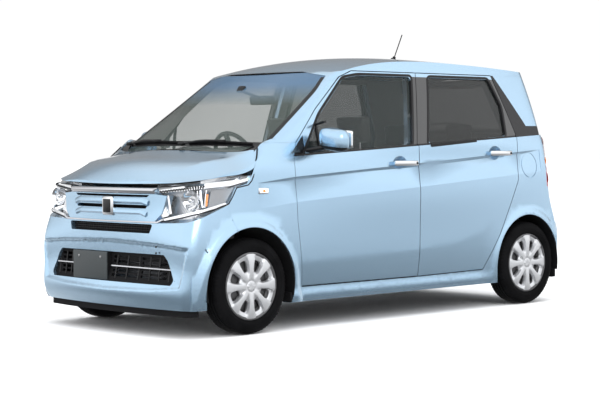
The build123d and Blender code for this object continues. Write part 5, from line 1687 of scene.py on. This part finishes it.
# ---- rear: lamps, window, plate place, handle ----
def rear_corner(turn, z, side):
    """A point on a tail lamp, seen from outside at an angle: 90 is the side, 180 the rear."""
    aim = Vector((-1.50, side * 0.600, z))
    away = Vector((math.cos(math.radians(turn)), side * math.sin(math.radians(turn)), 0))
    return cast(["tail_lamps"], aim + away, -away)


def corner_sheet(name, side, z0, z1, mat, lift, bow=0.0, slot="lamp", rows=7, cols=22):
    """A band round the outside of a tail lamp, between two heights."""
    verts = []
    for i in range(rows):
        t = i / (rows - 1)
        out = lift + bow * math.sin(math.pi * t)
        hits = [rear_corner(126 + 45 * j / (cols - 1), z0 + (z1 - z0) * t, side)
                for j in range(cols)]
        verts += [p + n * out for p, n in carried(hits)]
    sheet(name, verts, cols, mat, thick=0.003)


deep_red = plain("deep_red", (0.16, 0.004, 0.006), 0.10, 0.0, (60, 0.0002), Coat_Weight=1.0)
for side_name, side in SIDES:
    for name, *row in (("top", 1.075, 1.128, deep_red, 0.0025, 0.004),
                       ("bar", 1.062, 1.068, chrome, 0.004, 0.0, METAL),
                       ("amber", 0.946, 0.992, amber, 0.0025, 0.003),
                       ("white", 0.894, 0.940, white_lens, 0.0025, 0.003),
                       ("low", 0.818, 0.880, deep_red, 0.0025, 0.003)):
        corner_sheet(f"tail_{name}_{side_name}", side, *row)
    for k in range(6):
        z = 1.004 + 0.0105 * k
        corner_sheet(f"tail_rib_{side_name}_{k}", side, z, z + 0.0030, deep_red, 0.0035)

# Rear window: black border, upper brake lamp, wiper.
GATE, REAR_GLASS, BUMPER = ["tailgate"], ["tailgate_glass"], ["rear_bumper"]
outline = [(0.452, 1.496), (0.474, 1.482), (0.5235, 1.198), (0.506, 1.171)]
rear_strip("rear_glass_edge", outline + [(-y, z) for y, z in reversed(outline)], REAR_GLASS,
           bead(0.032, 0.0015, 0.001), gloss_black, closed=True)
top = on_rear(REAR_GLASS, 0, 1.482)[0]
boxes(("upper_brake_lamp", top + Vector((0.016, 0, 0.002)), (0.020, 0.240, 0.022), 0.005,
       deep_red, "red_lamp"), body="tailgate")
wiper("rear_wiper", ((-0.020, 1.215), (-0.370, 1.225)), (0.0, 1.182),
      lambda y, z: on_rear(REAR_GLASS + GATE, y, z), 12, "tailgate")

# The place for the plate, the handle bar over it and a blank badge place.
REAR_PLATE_Z = 0.800
hits = carried([on_rear(GATE, 0.192 * (j / 15 - 1), REAR_PLATE_Z - 0.092 + 0.046 * k)
                for k in range(5) for j in range(31)])
sheet("rear_plate_frame", [p - Vector((0.0005, 0, 0)) for p, n in hits], 31, satin_black,
      "tailgate", 0.004, 1)
far = min(on_rear(GATE, y, REAR_PLATE_Z)[0].x for y in (-0.16, 0, 0.16))
boxes(("rear_plate_blank", (far - 0.010, 0, REAR_PLATE_Z), (0.006, 0.329, 0.164), 0.0024,
       plate_dark, DARK),
      *[(f"rear_plate_screw_{k}", (far - 0.0135, side * 0.105, 0.850), (0.005, 0.014, 0.014),
         0.0022, disc, METAL) for k, side in ((1, 1), (0, -1))], body="tailgate")
rear_strip("rear_handle_bar", [(0.330, 0.905), (0.0, 0.912), (-0.330, 0.905)], GATE,
           [(-0.019, -0.003), (-0.017, 0.012), (-0.006, 0.020), (0.010, 0.018), (0.019, 0.006),
            (0.019, -0.003)], paint)
rear_strip("rear_handle_pocket", [(0.11, 0.889), (-0.11, 0.889)], GATE, bead(0.012, 0.006),
           matt_black)
spot = on_rear(GATE, 0, 1.045)[0]
boxes(*[(f"rear_plate_lamp_{k}",
         on_rear(GATE, side * 0.09, 0.890)[0] + Vector((-0.006, side * 0.09, -0.002)),
         (0.012, 0.052, 0.010), 0.003, white_lens, "lamp") for k, side in ((1, 1), (0, -1))],
      ("rear_badge_place", spot + Vector((-0.003, 0, 0)), (0.012, 0.074, 0.066), 0.0055, chrome,
       METAL),
      ("rear_badge_blank", spot + Vector((-0.0075, 0, 0)), (0.006, 0.056, 0.048), 0.0028,
       gloss_black, TRIM), body="tailgate")
for side_name, side in SIDES:
    rear_strip(f"rear_reflector_{side_name}", [(side * 0.610, 0.405), (side * 0.490, 0.399)],
               BUMPER, bead(0.026, 0.005), deep_red, "body")
    rear_strip(f"rear_corner_line_{side_name}", [(side * 0.655, 0.520), (side * 0.640, 0.330)],
               BUMPER, bead(0.005, 0.0012), paint, "body")
rear_strip("rear_bumper_inset", [(0.52, 0.232), (0.0, 0.226), (-0.52, 0.232)], BUMPER,
           bead(0.075, 0.004), satin_black, "body")
rear_strip("rear_bumper_edge", [(0.60, 0.545), (0.0, 0.552), (-0.60, 0.545)], BUMPER,
           bead(0.010, 0.004), paint, "body")

# The foot of the antenna on the roof.
foot = cast(["roof_panel"], (-0.789, 0, 3), (0, 0, -1))[0]
tube("antenna_boot", [foot + Vector(way) for way in (
    (0.006, 0, -0.002), (0.0, 0, 0.012), (-0.010, 0, 0.030))], 0.011, matt_black, sides=14)

# Black flaps close the foot of each wheel arch behind the wheel.
for side_name, side in SIDES:
    for place, axle in (("front", FRONT_AXLE), ("rear", REAR_AXLE)):
        hit = cast(["front_fenders", "side_frames", "rear_bumper"], (axle, side * 0.690, 0.190),
                   (-1, 0, 0))
        if hit:
            boxes((f"arch_foot_{place}_{side_name}", hit[0] + Vector((0.006, -side * 0.030, 0.002)),
                   (0.014, 0.110, 0.058), 0.004, matt_black, DARK))


# ---- under the hood ----
reservoir = plain("reservoir", (0.62, 0.63, 0.60), 0.45, 0.0, (40, 0.0004))
BATTERY, WASHER, COOLANT = (1.415, 0.385), (1.420, -0.385), (1.075, 0.330)
boxes(("engine_cover", (1.270, 0.020, 0.787), (0.340, 0.400, 0.064), 0.022, satin_black, DARK,
       0.0, 0.06),
      *[(f"engine_cover_rib_{k}", (1.270, -0.110 + 0.065 * k, 0.8225), (0.250, 0.020, 0.010),
         0.0045, satin_black, DARK) for k in range(5)])
lathe("oil_cap", [(0.0, 0.020), (0.026, 0.019), (0.030, 0.012), (0.030, 0.0), (0.0, -0.002)],
      (1.140, 0.235, 0.775), matt_black, segments=24)
boxes(("air_box", (1.210, -0.245, 0.800), (0.230, 0.110, 0.090), 0.020, matt_black, DARK,
       0.0, 0.05))
bent_tube("air_duct",
          [(1.310, -0.245, 0.800), (1.420, -0.245, 0.800), (1.455, -0.150, 0.780)],
          0.04, 0.030, matt_black, sides=20)
boxes(("battery_tray", (*BATTERY, 0.527), (0.210, 0.112, 0.018), 0.005, matt_black, DARK),
      ("battery_case", (*BATTERY, 0.612), (0.190, 0.100, 0.155), 0.006, matt_black, DARK),
      ("battery_lid", (*BATTERY, 0.695), (0.192, 0.102, 0.018), 0.004, panel_light, CABIN),
      ("battery_clamp", (*BATTERY, 0.708), (0.020, 0.106, 0.006), 0.002, steel, METAL))
for k, (x, mat) in enumerate(((1.345, deep_red), (1.485, matt_black))):
    boxes((f"battery_pole_{k}", (x, 0.405, 0.711), (0.024, 0.024, 0.018), 0.006, disc, METAL))
    bent_tube(f"battery_cable_{k}",
              [(x, 0.405, 0.716), (x - 0.030, 0.330, 0.760), (1.340, 0.225, 0.730)],
              0.04, 0.005, mat)
boxes(("washer_bottle", (*WASHER, 0.600), (0.150, 0.098, 0.160), 0.022, reservoir, CABIN,
       0.0, 0.05),
      ("washer_cap", (*WASHER, 0.690), (0.044, 0.044, 0.020), 0.008, dials, DARK),
      ("coolant_bottle", (*COOLANT, 0.800), (0.100, 0.090, 0.120), 0.022, reservoir, CABIN,
       0.0, 0.05),
      ("coolant_cap", (*COOLANT, 0.868), (0.040, 0.040, 0.018), 0.007, matt_black, DARK),
      ("brake_cylinder", (1.060, -0.345, 0.780), (0.110, 0.052, 0.048), 0.018, iron, METAL),
      ("brake_reservoir", (1.065, -0.345, 0.832), (0.080, 0.060, 0.052), 0.014, reservoir, CABIN))
bent_tube("coolant_hose", [(1.505, 0.110, 0.700), (1.440, 0.130, 0.800),
                           (1.400, 0.235, 0.800), (1.330, 0.262, 0.745)],
          0.05, 0.017, matt_black, sides=16)
for side_name, side in SIDES:
    for k in range(3):
        turn = 2 * math.pi * k / 3 + 0.5
        boxes((f"strut_nut_{side_name}_{k}",
               (1.1625 + 0.045 * math.cos(turn), side * (0.515 + 0.045 * math.sin(turn)), 0.791),
               (0.016, 0.016, 0.012), 0.004, disc, METAL))
